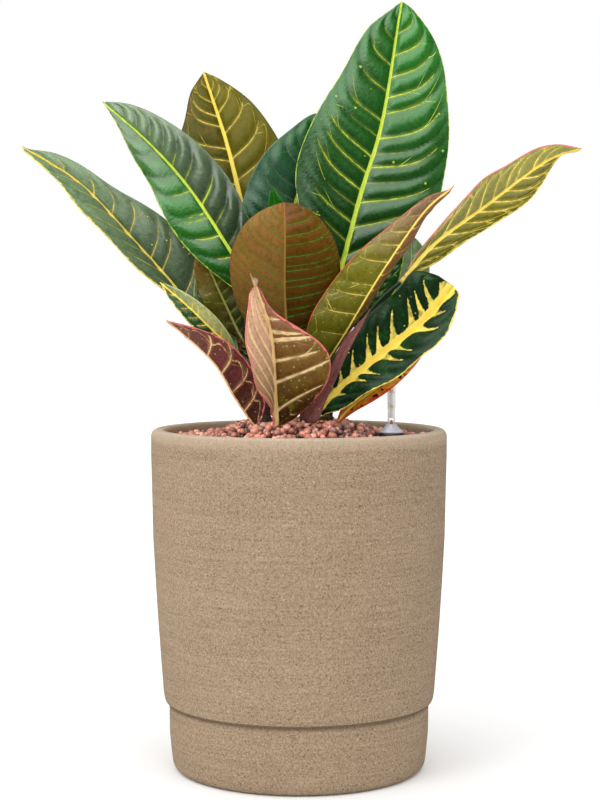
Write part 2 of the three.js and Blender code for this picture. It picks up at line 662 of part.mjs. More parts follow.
function pointerGeometry() {
  const bottom = ROD_TOP + GAP;
  return turned([
    [0, bottom], [POINTER_RADIUS, bottom], [POINTER_RADIUS, bottom + POINTER_HEIGHT - 0.8],
    [POINTER_RADIUS - 0.7, bottom + POINTER_HEIGHT], [0, bottom + POINTER_HEIGHT],
  ], GAUGE_SIDES / 2, GAUGE_X, GAUGE_Y);
}

// Assembly

const part = new THREE.Group();

function addPiece(name, geometry, color, roughness, metalness = 0) {
  const material = new THREE.MeshStandardMaterial({ color, roughness, metalness });
  const piece = new THREE.Mesh(geometry, material);
  piece.name = name;
  part.add(piece);
}

addPiece('planter', planterGeometry(), 0xb09a80, 0.95);
addPiece('substrate', substrateGeometry(), 0xa8705c, 0.95);
addPiece('root_ball', rootBallGeometry(), 0x4a3527, 1);
addPiece('stem_main', welded(stemGeometry(STEMS.main)), 0x7a6a4e, 0.85);
addPiece('stem_left', welded(stemGeometry(STEMS.left)), 0x7a6a4e, 0.85);
addPiece('stem_right', welded(stemGeometry(STEMS.right)), 0x7a6a4e, 0.85);

const LEAF_COLORS = {
  leaf_01: 0x2c6b33, leaf_02: 0x3a7d3e, leaf_03: 0x6e6a1c, leaf_04: 0x2f5a4c, leaf_05: 0x4c9a1e,
  leaf_06: 0x7d5a24, leaf_07: 0x48614f, leaf_08: 0x77424a, leaf_09: 0x4c4418, leaf_10: 0xb28368,
  leaf_11: 0x8a7c34, leaf_12: 0x75683a, leaf_13: 0x8f8a3c, leaf_14: 0x1f4a2c, leaf_15: 0xc79a3a,
  leaf_16: 0x6d3f4c, leaf_17: 0x7f9a80, leaf_18: 0x1f4f2e, leaf_19: 0x24401f, leaf_20: 0x5a9a2e,
  leaf_21: 0x9a9a52, leaf_22: 0x356f37, leaf_23: 0x3f6a34, leaf_24: 0x6d6a2a, leaf_25: 0x7a4a34,
  leaf_26: 0x35603a, leaf_27: 0x2f6634, leaf_28: 0x4f6a3a,
};

for (const [name, leaf] of Object.entries(LEAVES)) {
  addPiece(name, leafGeometry(leaf), LEAF_COLORS[name], 0.45);
}

addPiece('gauge_housing', housingGeometry(), 0x5a5d60, 0.6);
addPiece('gauge_collar', collarGeometry(), 0x3c3f42, 0.5);
addPiece('gauge_cap', capGeometry(), 0xb9bec2, 0.3);
addPiece('gauge_tube', tubeGeometry(), 0xe6ebee, 0.1);
addPiece('gauge_plug', plugGeometry(), 0x3c3f42, 0.5);
addPiece('gauge_scale', scaleGeometry(), 0xf2f2ee, 0.5);
addPiece('gauge_float', floatGeometry(), 0xece8de, 0.7);
addPiece('gauge_pointer', pointerGeometry(), 0xb03a26, 0.5);

export default part;
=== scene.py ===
"""Potted croton: waxy veined leaves on three stems, a sandy planter, clay pebbles and a water gauge.

Lengths in the shape functions are millimetres and are turned into metres when a mesh is made.
"""

import math

import bpy
import numpy as np
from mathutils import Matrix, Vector


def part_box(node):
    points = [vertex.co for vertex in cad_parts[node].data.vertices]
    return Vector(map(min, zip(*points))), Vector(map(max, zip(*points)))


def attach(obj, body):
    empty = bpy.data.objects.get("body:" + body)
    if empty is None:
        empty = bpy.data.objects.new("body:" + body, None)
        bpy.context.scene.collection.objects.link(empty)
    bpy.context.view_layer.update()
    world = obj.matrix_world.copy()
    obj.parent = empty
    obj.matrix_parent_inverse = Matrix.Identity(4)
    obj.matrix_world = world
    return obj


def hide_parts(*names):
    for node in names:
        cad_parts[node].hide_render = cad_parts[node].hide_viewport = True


bl_info = {
    "name": "Potted Croton",
    "version": (1, 0, 0),
    "blender": (4, 5, 0),
    "location": "View3D > Sidebar > Croton",
    "description": "Dresses the croton, its planter, pebbles and water gauge",
    "category": "Add Mesh",
}

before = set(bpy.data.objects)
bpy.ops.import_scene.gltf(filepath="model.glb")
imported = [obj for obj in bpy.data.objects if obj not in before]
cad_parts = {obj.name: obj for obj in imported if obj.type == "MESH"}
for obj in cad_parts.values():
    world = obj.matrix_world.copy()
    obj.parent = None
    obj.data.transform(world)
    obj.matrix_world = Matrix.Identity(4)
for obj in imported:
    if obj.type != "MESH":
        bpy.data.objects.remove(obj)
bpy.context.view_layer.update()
MM = 0.001


def box_mm(node):
    """Lowest and highest corner of a node of the frame, in millimetres."""
    low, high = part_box(node)
    return np.array(low) / MM, np.array(high) / MM


def srgb(red, green, blue):
    """Linear colour of a display colour given from 0 to 255."""
    shade = np.array([red, green, blue]) / 255
    linear = np.where(shade <= 0.04045, shade / 12.92, ((shade + 0.055) / 1.055) ** 2.4)
    return tuple(float(value) for value in linear)


# Settings


def length(name, description, default):
    """A length property in metres, from a default in millimetres."""
    return bpy.props.FloatProperty(
        name=name, description=description, default=default * MM, min=0.0, precision=5, unit="LENGTH"
    )


def colour(name, description, default):
    """A colour property, from a display colour given from 0 to 255."""
    return bpy.props.FloatVectorProperty(
        name=name, description=description, default=srgb(*default), min=0.0, max=1.0, subtype="COLOR"
    )


def amount(name, description, default):
    """A plain factor between 0 and 1."""
    return bpy.props.FloatProperty(name=name, description=description, default=default, min=0.0, max=1.0)


PLANTER_HIGH = box_mm("planter")[1]


class PlanterSettings(bpy.types.PropertyGroup):
    """Sizes and colours of the planter."""

    rim_radius: length("Rim radius", "Radius of the planter at its rim", PLANTER_HIGH[0])
    height: length("Height", "Height of the planter", PLANTER_HIGH[2])
    sides: bpy.props.IntProperty(name="Sides", description="Facets round the planter", default=256, min=24)
    sand: colour("Sand", "Main colour of the cast stone", (153, 131, 106))
    pale_sand: colour("Pale sand", "Colour of the raised grains", (200, 180, 154))
    # Painted shade: this colour darkens the pits between the grains and the band under the step.
    shaded_sand: colour("Dark sand", "Colour in the pits between the grains", (76, 60, 42))
    # Painted light: a pale colour laid along the rim's top.
    rim_light_sand: colour("Lip sand", "Colour of the worn top of the rim", (206, 194, 178))
    grain_size: length("Grain size", "Spacing of the grains on the wall", 1.5)
    grain_depth: length("Grain depth", "Height of the grains", 0.5)


class BedSettings(bpy.types.PropertyGroup):
    """Sizes and colours of the bed of clay pebbles."""

    pebble_size: length("Pebble size", "Mean diameter of a pebble", 7.0)
    pitch: length("Pitch", "Spacing of the pebbles in a layer", 7.0)
    seed: bpy.props.IntProperty(name="Seed", description="Seed of the scatter", default=7, min=0)
    clay: colour("Clay", "Colour of most pebbles", (204, 130, 106))
    pale_clay: colour("Pale clay", "Colour of the palest pebbles", (238, 184, 164))
    dark_clay: colour("Dark clay", "Colour of the overfired pebbles", (126, 88, 88))
    # Partly the mix's own colour and partly painted shade: nearly black so the gaps between the pebbles and
    # their pores read as shaded.
    soil_and_shade: colour("Soil", "Colour of the mix under the pebbles", (24, 14, 10))


class PlantSettings(bpy.types.PropertyGroup):
    """Sizes and paint of the stems and leaves."""

    blade_thickness: length("Blade thickness", "Thickness of a leaf blade", 0.8)
    quilt_height: length("Quilting", "How far the blade swells between side veins", 3.0)
    camber: length("Camber", "How far each half of a blade bows", 2.2)
    gloss: amount("Roughness", "Roughness of the waxy leaf surface", 0.32)
    deep_green: colour("Deep green", "Grown green leaves", (28, 84, 20))
    fresh_green: colour("Fresh green", "Bright young green", (40, 122, 22))
    grey_green: colour("Grey green", "Greyed green", (96, 118, 84))
    blue_green: colour("Blue green", "Bluish green", (34, 76, 46))
    night_green: colour("Night green", "Nearly black green", (16, 38, 16))
    olive: colour("Olive", "Olive", (102, 98, 14))
    khaki: colour("Khaki", "Pale olive", (142, 138, 74))
    brown: colour("Brown", "Olive brown", (104, 66, 6))
    umber: colour("Umber", "Dark brown", (54, 38, 4))
    rose_tan: colour("Rose tan", "Rosy tan", (140, 98, 44))
    pink_tan: colour("Pink tan", "Pale pink tan", (190, 146, 120))
    mauve: colour("Mauve", "Greyed mauve", (112, 70, 66))
    maroon: colour("Maroon", "Dark red", (98, 38, 42))
    lime: colour("Lime", "Pale lime of the veins", (186, 206, 62))
    yellow: colour("Yellow", "Yellow of the veins", (236, 212, 96))
    peach: colour("Peach", "Peach of the veins", (238, 190, 132))
    butter: colour("Butter", "Pale yellow of some midribs", (240, 208, 150))
    orange: colour("Orange", "Orange", (190, 112, 20))
    pink: colour("Pink", "Pink edge", (222, 112, 112))
    red: colour("Red", "Red edge", (206, 58, 50))
    cream: colour("Cream", "Pale cream green", (172, 174, 112))
    bark: colour("Bark", "Grey brown of the stems", (70, 56, 40))


class GaugeSettings(bpy.types.PropertyGroup):
    """Sizes and colours of the water gauge."""

    metal: colour("Metal", "Silvery cap", (214, 213, 226))
    rubber: colour("Collar", "Dark collar", (44, 46, 52))
    marks: colour("Marks", "Level marks on the scale", (222, 196, 92))
    scale_white: colour("Scale", "White strip behind the marks", (248, 248, 248))
    milky: colour("Tube", "Milky plastic of the tube", (246, 247, 248))
    tip: colour("Pointer", "Red tip of the rod", (206, 44, 36))
    tick_count: bpy.props.IntProperty(name="Marks", description="Marks on the strip", default=3, min=3)


class StageSettings(bpy.types.PropertyGroup):
    """Floor, light and camera."""

    floor: colour("Floor", "Pale studio floor", (250, 250, 250))
    camera_distance: bpy.props.FloatProperty(
        name="Camera distance", description="Distance from the planter's axis", default=1.74, unit="LENGTH"
    )
    camera_height: bpy.props.FloatProperty(
        name="Camera height", description="Height above the floor", default=0.441, unit="LENGTH"
    )
    camera_pitch: bpy.props.FloatProperty(
        name="Camera pitch", description="Tilt below the horizon", default=math.radians(3), subtype="ANGLE"
    )
    focal_length: bpy.props.FloatProperty(name="Focal length", description="In millimetres", default=82.67)


# Mesh helpers


def smooth_step(value):
    """Cubic ease from 0 to 1, flat at both ends."""
    t = np.clip(value, 0.0, 1.0)
    return t * t * (3 - 2 * t)


def unit(vectors):
    """Vectors of length one along the last axis."""
    return vectors / np.linalg.norm(vectors, axis=-1, keepdims=True)


def placed(name, data):
    """A new object in the scene."""
    made = bpy.data.objects.new(name, data)
    bpy.context.scene.collection.objects.link(made)
    return made


def mesh_object(name, vertices, faces, material, body, nodes):
    """Makes a smooth piece from millimetre vertices, lets it ride on a body and stand for CAD nodes."""
    mesh = bpy.data.meshes.new(name)
    mesh.from_pydata((vertices * MM).tolist(), [], faces, shade_flat=False)
    mesh.validate()
    mesh.materials.append(material)
    piece = placed(name, mesh)
    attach(piece, body)
    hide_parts(*nodes)
    return piece


def set_vectors(mesh, name, values):
    """Stores a vector for each vertex under a name that the materials read."""
    layer = mesh.attributes.new(name, "FLOAT_VECTOR", "POINT")
    layer.data.foreach_set("vector", np.ascontiguousarray(values, np.float32).ravel())


def set_colours(mesh, name, values):
    """Stores a linear colour for each vertex under a name that the materials read."""
    opaque = np.concatenate([values, np.ones((len(values), 1))], axis=1)
    layer = mesh.attributes.new(name, "FLOAT_COLOR", "POINT")
    layer.data.foreach_set("color", opaque.astype(np.float32).ravel())


def ring_faces(lower, upper, ring):
    """Faces that join each lower ring to its upper one. Vertex row*ring+column is on the tube."""
    column = np.arange(ring)
    following = (column + 1) % ring
    lower, upper = lower[:, None] * ring, upper[:, None] * ring
    quads = np.stack([lower + column, lower + following, upper + following, upper + column], -1)
    return quads.reshape(-1, 4).tolist()


def tube_faces(rows, ring):
    """Faces of a tube of rings, then fans from its first and last ring to one vertex each."""
    quads = ring_faces(np.arange(rows - 1), np.arange(1, rows), ring)
    column = np.arange(ring)
    following = (column + 1) % ring
    start, end = rows * ring, rows * ring + 1
    last = (rows - 1) * ring
    first_fan = np.stack([np.full(ring, start), following, column], -1)
    last_fan = np.stack([np.full(ring, end), last + column, last + following], -1)
    return quads + first_fan.tolist() + last_fan.tolist()


def turned_surface(profile, sides, centre=(0.0, 0.0), ripple=None):
    """Vertices and faces of a profile of (radius, height) carried round a vertical axis.

    An open profile starts and ends on the axis; a closed one, whose last point repeats its first,
    becomes a ring. The profile runs up the outside, so faces look outward.
    """
    profile = np.asarray(profile, float)
    angle = np.arange(sides) * 2 * np.pi / sides
    closed = np.allclose(profile[0], profile[-1])
    body = profile[:-1] if closed else profile[1:-1]
    radius = body[:, :1] + (ripple(angle, body) if ripple else 0)
    x = centre[0] + radius * np.cos(angle)
    y = centre[1] + radius * np.sin(angle)
    z = np.broadcast_to(body[:, 1:], x.shape)
    vertices = np.stack([x, y, z], -1).reshape(-1, 3)
    if not closed:
        poles = [[*centre, profile[0, 1]], [*centre, profile[-1, 1]]]
        return np.vstack([vertices, poles]), tube_faces(len(body), sides)
    row = np.arange(len(body))
    return vertices, ring_faces(row, (row + 1) % len(body), sides)


def refined(points, step):
    """Points along a polyline, with each stretch cut into equal parts no longer than the step."""
    points = np.asarray(points, float)
    parts = []
    for start, end in zip(points[:-1], points[1:]):
        count = max(1, math.ceil(np.linalg.norm(end - start) / step))
        parts.append(start + (end - start) * (np.arange(count) / count)[:, None])
    return np.vstack([*parts, points[-1:]])


def rounded(points, radius, steps=5):
    """Polyline whose inner corners are replaced by short curves of about the given radius."""
    points = np.asarray(points, float)
    parts = [points[:1]]
    t = np.linspace(0, 1, steps)[:, None]
    for before, corner, after in zip(points[:-2], points[1:-1], points[2:]):
        reach_in = min(radius, np.linalg.norm(before - corner) * 0.45)
        reach_out = min(radius, np.linalg.norm(after - corner) * 0.45)
        start = corner + unit(before - corner) * reach_in
        end = corner + unit(after - corner) * reach_out
        parts.append((1 - t) ** 2 * start + 2 * t * (1 - t) * corner + t**2 * end)
    return np.vstack([*parts, points[-1:]])


# Shader helpers


class Recipe:
    """Lays shader nodes into one node tree."""

    def __init__(self, tree):
        self.tree = tree

    def add(self, kind, inputs=None, **settings):
        """Adds a node, sets its properties, then its inputs from values or sockets."""
        node = self.tree.nodes.new(kind)
        for name, value in settings.items():
            setattr(node, name, value)
        for name, value in (inputs or {}).items():
            self.put(node.inputs[name], value)
        return node

    def put(self, socket, value):
        """Links a socket to an input, or sets the input's own value."""
        if isinstance(value, bpy.types.NodeSocket):
            self.tree.links.new(value, socket)
        elif hasattr(value, "__len__") and len(value) == 3 and socket.type == "RGBA":
            socket.default_value = (*value, 1.0)
        else:
            socket.default_value = value

    def math(self, operation, *values):
        """A Math node; values may be numbers or sockets."""
        node = self.add("ShaderNodeMath", operation=operation)
        for socket, value in zip(node.inputs, values):
            self.put(socket, value)
        return node.outputs[0]

    def ramp(self, value, low, high, to_low=0.0, to_high=1.0):
        """Smooth ramp of a value from one range to another."""
        names = ("Value", "From Min", "From Max", "To Min", "To Max")
        inputs = dict(zip(names, (value, low, high, to_low, to_high)))
        return self.add("ShaderNodeMapRange", inputs, interpolation_type="SMOOTHSTEP").outputs[0]

    def mix(self, factor, first, second, blend="MIX"):
        """Mix of two colours."""
        inputs = {0: factor, 6: first, 7: second}
        return self.add("ShaderNodeMix", inputs, data_type="RGBA", blend_type=blend).outputs[2]

    def attribute(self, name, output="Vector"):
        """An attribute of the piece's own mesh."""
        return self.add("ShaderNodeAttribute", attribute_name=name).outputs[output]

    def place(self):
        """The Object coordinates of the piece, in metres."""
        return self.add("ShaderNodeTexCoord").outputs["Object"]

    def split(self, vector):
        """The three parts of a vector."""
        return self.add("ShaderNodeSeparateXYZ", {"Vector": vector}).outputs

    def join(self, x, y, z):
        """A vector from three parts."""
        return self.add("ShaderNodeCombineXYZ", {"X": x, "Y": y, "Z": z}).outputs[0]

    def stretch(self, vector, scale):
        """A place scaled along each axis."""
        return self.add("ShaderNodeMapping", {"Vector": vector, "Scale": scale}).outputs["Vector"]

    def noise(self, vector, scale, detail, roughness=0.5, distortion=0.0):
        """Noise between 0 and 1."""
        names = ("Vector", "Scale", "Detail", "Roughness", "Distortion")
        inputs = dict(zip(names, (vector, scale, detail, roughness, distortion)))
        return self.add("ShaderNodeTexNoise", inputs).outputs["Fac"]

    def cells(self, vector, scale, feature):
        """Outputs of a Voronoi node."""
        return self.add("ShaderNodeTexVoronoi", {"Vector": vector, "Scale": scale}, feature=feature).outputs

    def dimmed(self, colour_value, level):
        """A colour times a level of light."""
        return self.mix(1.0, colour_value, self.join(level, level, level), "MULTIPLY")

    def group(self, tree, inputs):
        """Places a node group with its inputs."""
        return self.add("ShaderNodeGroup", inputs, node_tree=tree).outputs


def pair_of(operation, first, second):
    """A Math node of two values, in the tree of the one that is a socket."""
    socket = first if isinstance(first, bpy.types.NodeSocket) else second
    return Recipe(socket.id_data).math(operation, first, second)


def times(first, second):
    """Product of two node values."""
    return pair_of("MULTIPLY", first, second)


def plus(first, second):
    """Sum of two node values."""
    return pair_of("ADD", first, second)


def minus(first, second):
    """Difference of two node values."""
    return pair_of("SUBTRACT", first, second)


def new_group(name, inputs, outputs):
    """A shader node group with named sockets: its recipe, its input sockets and its output node."""
    tree = bpy.data.node_groups.new(name, "ShaderNodeTree")
    kinds = {"value": "NodeSocketFloat", "colour": "NodeSocketColor"}
    for label, kind, default in inputs:
        socket = tree.interface.new_socket(label, in_out="INPUT", socket_type=kinds[kind])
        socket.default_value = (*default, 1.0) if kind == "colour" else default
    for label, kind in outputs:
        tree.interface.new_socket(label, in_out="OUTPUT", socket_type=kinds[kind])
    recipe = Recipe(tree)
    entry = recipe.add("NodeGroupInput")
    exit_node = recipe.add("NodeGroupOutput")
    return recipe, entry.outputs, exit_node


def new_material(name, **shader_values):
    """A node material with one Principled shader; returns the material, its recipe and the shader."""
    material = bpy.data.materials.new(name)
    material.use_nodes = True
    recipe = Recipe(material.node_tree)
    shader = material.node_tree.nodes["Principled BSDF"]
    for label, value in shader_values.items():
        recipe.put(shader.inputs[label.replace("_", " ")], value)
    return material, recipe, shader


def finish_surface(recipe, shader, base, roughness, height, distance):
    """Feeds colour, roughness and a bump into a shader."""
    recipe.put(shader.inputs["Base Color"], base)
    recipe.put(shader.inputs["Roughness"], roughness)
    bump = recipe.add("ShaderNodeBump", {"Height": height, "Distance": distance, "Strength": 1.0})
    recipe.put(shader.inputs["Normal"], bump.outputs["Normal"])


def mottle_group():
    """Soft patches and fine grain on Object coordinates, shared by the moulded and turned pieces."""
    recipe, entry, out = new_group(
        "Mottle",
        [("Base", "colour", (0.5, 0.5, 0.5)), ("Patch", "colour", (0.4, 0.4, 0.4)), ("Size", "value", 60.0),
         ("Amount", "value", 0.5), ("Roughness", "value", 0.4), ("Grain", "value", 900.0)],
        [("Color", "colour"), ("Roughness", "value"), ("Height", "value")],
    )
    place = recipe.place()
    patches = recipe.noise(place, entry["Size"], 3.0)
    grain = recipe.noise(place, entry["Grain"], 2.0)
    mask = times(recipe.ramp(patches, 0.35, 0.65), entry["Amount"])
    recipe.put(out.inputs["Color"], recipe.mix(mask, entry["Base"], entry["Patch"]))
    spread = times(minus(grain, 0.5), 0.25)
    recipe.put(out.inputs["Roughness"], plus(entry["Roughness"], spread))
    recipe.put(out.inputs["Height"], grain)
    return recipe.tree


def plain_finish(name, base, patch, roughness, size=60.0, share=0.5, depth=0.00002, **shader_values):
    """A moulded or turned finish from the shared mottle group."""
    material, recipe, shader = new_material(name, **shader_values)
    tree = bpy.data.node_groups.get("Mottle") or mottle_group()
    values = {"Base": base, "Patch": patch, "Size": size, "Amount": share, "Roughness": roughness}
    out = recipe.group(tree, values)
    finish_surface(recipe, shader, out["Color"], out["Roughness"], out["Height"], depth)
    return material


# Leaf shapes

STEMS = {
    "main": ((5, 15, 255), (9, 21, 452)),
    "left": ((-24, -11, 255), (-35, -12, 392)),
    "right": ((22, -10, 255), (32, -9, 392)),
}
STEM_RADII = {"main": (7.0, 4.2), "left": (5.5, 3.6), "right": (5.5, 3.6)}
FOLD_FULL_WIDTH = 5.0
FOLD_ROUNDING = 2.6
BULGE_SPREAD = 0.12
BULGE_CLOSING = 3.0
RIB_AT_BASE = 2.0
SMALL_RIB_AT_BASE = 1.3
RIB_AT_TIP = 0.6
WAVE_HEIGHT = 1.4
WAVE_COUNT = 3
WAVE_FULL_WIDTH = 10.0
SIDE_COLUMNS = 23
PETIOLE_ROWS = 14
ROUTE_STEPS = 40
HEADING_REACH = 1.5
BLADE_ROW_SPACING = 2.1
FEWEST_BLADE_ROWS = 56
MOST_BLADE_ROWS = 132
CROWDING_AT_ENDS = 0.6
VEIN_SAMPLES = 40
RIB_COLUMNS = np.array([0, 0.5, 0.87, 1.2])
MARGIN_COLUMNS = np.array([1.1, 0.5, 0.15, 0])
MARGIN_COLUMNS_FULL_WIDTH = 6
QUILT_FULL_SPACING = 15
QUILT_FULL_WIDTH = 34
QUILT_START = 0.14
QUILT_END = 0.35
CAMBER_FULL_WIDTH = 30
EDGE_ROUNDING = 0.8
PETIOLE_TO_MARGIN = 8.0
TIP_REACH = 0.3
FIRST_VEIN = 0.03
VEIN_SPAN = 0.94
VEIN_JITTER = 0.22
FAINTEST_VEIN = 0.35
NARROWEST_HALF = 4.0
FOLD_START = 0.2
PILLOW_POWER = 0.75
RIB_ABOVE = 0.5
QUILT_BELOW = 0.9
CAMBER_CHANGE = 0.4
CAMBER_WAVES = 1.5
OPENING_START = 0.6
OPENING_SPAN = 2.4


class Half:
    """One half of a blade: widest half-width and where it lies, how sharply the outline leaves the base and
    the tip, how many degrees the half is folded towards the face, and its bulges: places along the blade
    where the outline swells by so much, or draws in."""

    def __init__(self, width, widest, base_power, tip_power, fold, bulges=()):
        self.width, self.widest = width, widest
        self.base_power, self.tip_power = base_power, tip_power
        self.fold = math.radians(fold)
        self.bulges = bulges

    def half_width(self, share):
        """Half-width at a share of the blade: a rounded bow raised to one power below its peak and another
        above it, plus a bell curve for each bulge that closes at the ends."""
        towards_base = share < self.widest
        reach = np.where(towards_base, share / self.widest, (1 - share) / (1 - self.widest))
        rise = 1 - (1 - np.clip(reach, 0, 1)) ** 2
        bow = self.width * rise ** np.where(towards_base, self.base_power, self.tip_power)
        swell = sum(
            height * np.exp(-(((share - place) / BULGE_SPREAD) ** 2)) for place, height in self.bulges
        )
        return np.maximum(0, bow + swell * smooth_step(BULGE_CLOSING * rise))


class Veins:
    """Side veins of one half: where each leaves the midrib, as a share of the blade, its strength and, if
    it differs, its lean. lean and curl say how far veins run on towards the tip until they reach the
    margin, as shares of the blade.
    """

    def __init__(self, lines, lean=0.07, curl=0.08):
        self.starts = np.array([line[0] for line in lines])
        self.strengths = np.array([line[1] for line in lines])
        self.leans = np.array([line[2] if len(line) > 2 else lean for line in lines])
        self.curl = curl


def even_veins(count, seed=1):
    """Veins at nearly even steps, with strengths drawn at random."""
    random = np.random.default_rng(seed)
    steps = (np.arange(count) + 0.5 + random.uniform(-VEIN_JITTER, VEIN_JITTER, count)) / count
    starts = FIRST_VEIN + VEIN_SPAN * steps
    return Veins(list(zip(starts, random.uniform(FAINTEST_VEIN, 1.0, count))))


class Leaf:
    """Route, outline, veins and paint of one leaf.

    It leaves its stem at a height in mm; blade and petiole are points of the midrib. left and right are
    the entries of each Half, and right is like left if it isn't given. face is the direction that the
    upper side looks to, roll its turn in degrees at base and tip, twist the share of the blade where the
    tip starts to turn over and by how many degrees. A calm leaf has a thin rib and no wave. veins is their
    number, or the Veins of both halves; quilt the share of the quilting, for the leaf or for each half.
    """

    def __init__(
        self, stem, height, paint, blade, left, right=None, petiole=(), face=(0, -1, 0), roll=(0, 0),
        twist=None, calm=False, veins=9, quilt=1.0,
    ):
        self.stem, self.height, self.blade, self.petiole = stem, height, blade, petiole
        self.left, self.right, self.paint = Half(*left), Half(*(right or left)), paint
        self.face, self.roll, self.twist, self.calm = face, roll, twist, calm
        self.quilt = quilt if isinstance(quilt, tuple) else (quilt, quilt)
        if isinstance(veins, int):
            veins = (even_veins(veins, height), even_veins(veins, height + 1))
        self.left_veins, self.right_veins = veins


def stem_point(stem, height):
    """Point of a stem's axis at a height."""
    foot, tip = (np.array(end, float) for end in STEMS[stem])
    return foot + (tip - foot) * (height - foot[2]) / (tip[2] - foot[2])


def smooth_route(points):
    """Uniform Catmull-Rom curve through the points."""
    points = np.asarray(points, float)
    ends = np.vstack([2 * points[0] - points[1], points, 2 * points[-1] - points[-2]])
    t = np.arange(ROUTE_STEPS)[:, None] / ROUTE_STEPS
    parts = []
    for before, start, end, after in zip(ends[:-3], ends[1:-2], ends[2:-1], ends[3:]):
        leaving, arriving = (end - before) / 2, (after - start) / 2
        parts.append(
            (2 * t**3 - 3 * t**2 + 1) * start + (t**3 - 2 * t**2 + t) * leaving
            + (3 * t**2 - 2 * t**3) * end + (t**3 - t**2) * arriving
        )
    return np.vstack([*parts, points[-1:]])


class Route:
    """A leaf's midrib, from the stem's axis along the petiole to the tip, by distance."""

    def __init__(self, leaf):
        base = [stem_point(leaf.stem, leaf.height), *leaf.petiole]
        self.points = smooth_route([*base, *leaf.blade])
        steps = np.linalg.norm(np.diff(self.points, axis=0), axis=1)
        self.distance = np.concatenate([[0], np.cumsum(steps)])
        self.blade_start = self.distance[len(base) * ROUTE_STEPS]
        self.blade_length = self.distance[-1] - self.blade_start

    def at(self, distance):
        """Points at distances from the stem's axis."""
        return np.stack([np.interp(distance, self.distance, self.points[:, i]) for i in range(3)], -1)

    def heading(self, distance):
        """Directions of the route at distances."""
        ahead = self.at(np.minimum(distance + HEADING_REACH, self.distance[-1]))
        behind = self.at(np.maximum(distance - HEADING_REACH, 0))
        return unit(ahead - behind)


def turned_about(vectors, axes, angles):
    """Each vector turned about its axis by its angle, by Rodrigues' formula."""
    cosine, sine = np.cos(angles)[:, None], np.sin(angles)[:, None]
    along = axes * np.sum(axes * vectors, -1, keepdims=True)
    return vectors * cosine + np.cross(axes, vectors) * sine + along * (1 - cosine)


def vein_lines(veins, columns):
    """Where each side vein lies, as a share of the blade, at each column out to the margin; its strength.

    A vein leans evenly and curls with the fourth power near the margin. Two bare lines close each end.
    """
    ends = np.diff(veins.starts).mean() * np.array([2.0, 1.0])
    starts = np.concatenate([veins.starts[0] - ends, veins.starts, veins.starts[-1] + ends[::-1]])
    strengths = np.pad(veins.strengths, 2)
    leans = np.pad(veins.leans, 2, mode="edge")
    return starts[:, None] + leans[:, None] * columns + veins.curl * columns**4, strengths


def vein_field(veins, along, x, width, length):
    """Phase, signed distance in mm, strength and spacing in mm of the side veins over one half.

    The phase is a whole number on each vein and runs evenly between neighbours. The distance is measured
    square to the vein.
    """
    lines, strengths = vein_lines(veins, np.linspace(0, 1, VEIN_SAMPLES + 1))
    place = np.clip(x * VEIN_SAMPLES, 0, VEIN_SAMPLES - 0.001)
    cell = place.astype(int)
    near = lines[:, cell] * (1 - (place - cell)) + lines[:, cell + 1] * (place - cell)
    steps = np.clip((along - near[:-1]) / (near[1:] - near[:-1]), 0, 1)
    phase = steps.sum(0)
    index = np.clip(np.round(phase).astype(int), 0, len(strengths) - 1)
    below = np.clip(np.floor(phase).astype(int), 0, len(strengths) - 2)
    line = np.take_along_axis(near, index[None], 0)[0]
    spacing = np.take_along_axis(np.diff(near, axis=0), below[None], 0)[0]
    lean = veins.leans.mean() + 4 * veins.curl * x**3
    slope = lean * length / np.maximum(width, NARROWEST_HALF)[:, None]
    distance = (along - line) * length / np.sqrt(1 + slope**2)
    return phase, distance, strengths[index], spacing * length


def side_offsets(distance, fold, direction):
    """Offsets across and above the midrib, and the slope, of a half that turns up by its fold.

    The direction of the half eases from flat to the fold, and the offsets are its running sum.
    """
    middle = (distance[:, 1:] + distance[:, :-1]) / 2
    angle = fold[:, None] * smooth_step(middle / FOLD_ROUNDING + FOLD_START)
    step = np.diff(distance, axis=1)
    start = np.zeros((len(distance), 1))
    across = np.concatenate([start, np.cumsum(step * np.cos(angle), axis=1)], axis=1) * direction
    above = np.concatenate([start, np.cumsum(step * np.sin(angle), axis=1)], axis=1)
    slope = np.concatenate([start, angle], axis=1)
    return across, above, slope


def half_columns(width, rib):
    """Distances from the midrib of the columns of one half: close together on the rib and at the margin."""
    scale = np.minimum(1, width / MARGIN_COLUMNS_FULL_WIDTH)[:, None]
    on_rib = rib[:, None] * RIB_COLUMNS * np.minimum(1, width / (3 * rib))[:, None]
    at_margin = width[:, None] - scale * MARGIN_COLUMNS
    inner = SIDE_COLUMNS + 1 - len(RIB_COLUMNS) - len(MARGIN_COLUMNS)
    share = (np.arange(inner) + 1) / (inner + 1)
    between = on_rib[:, -1:] + (at_margin[:, :1] - on_rib[:, -1:]) * share
    return np.concatenate([on_rib, between, at_margin], axis=1)


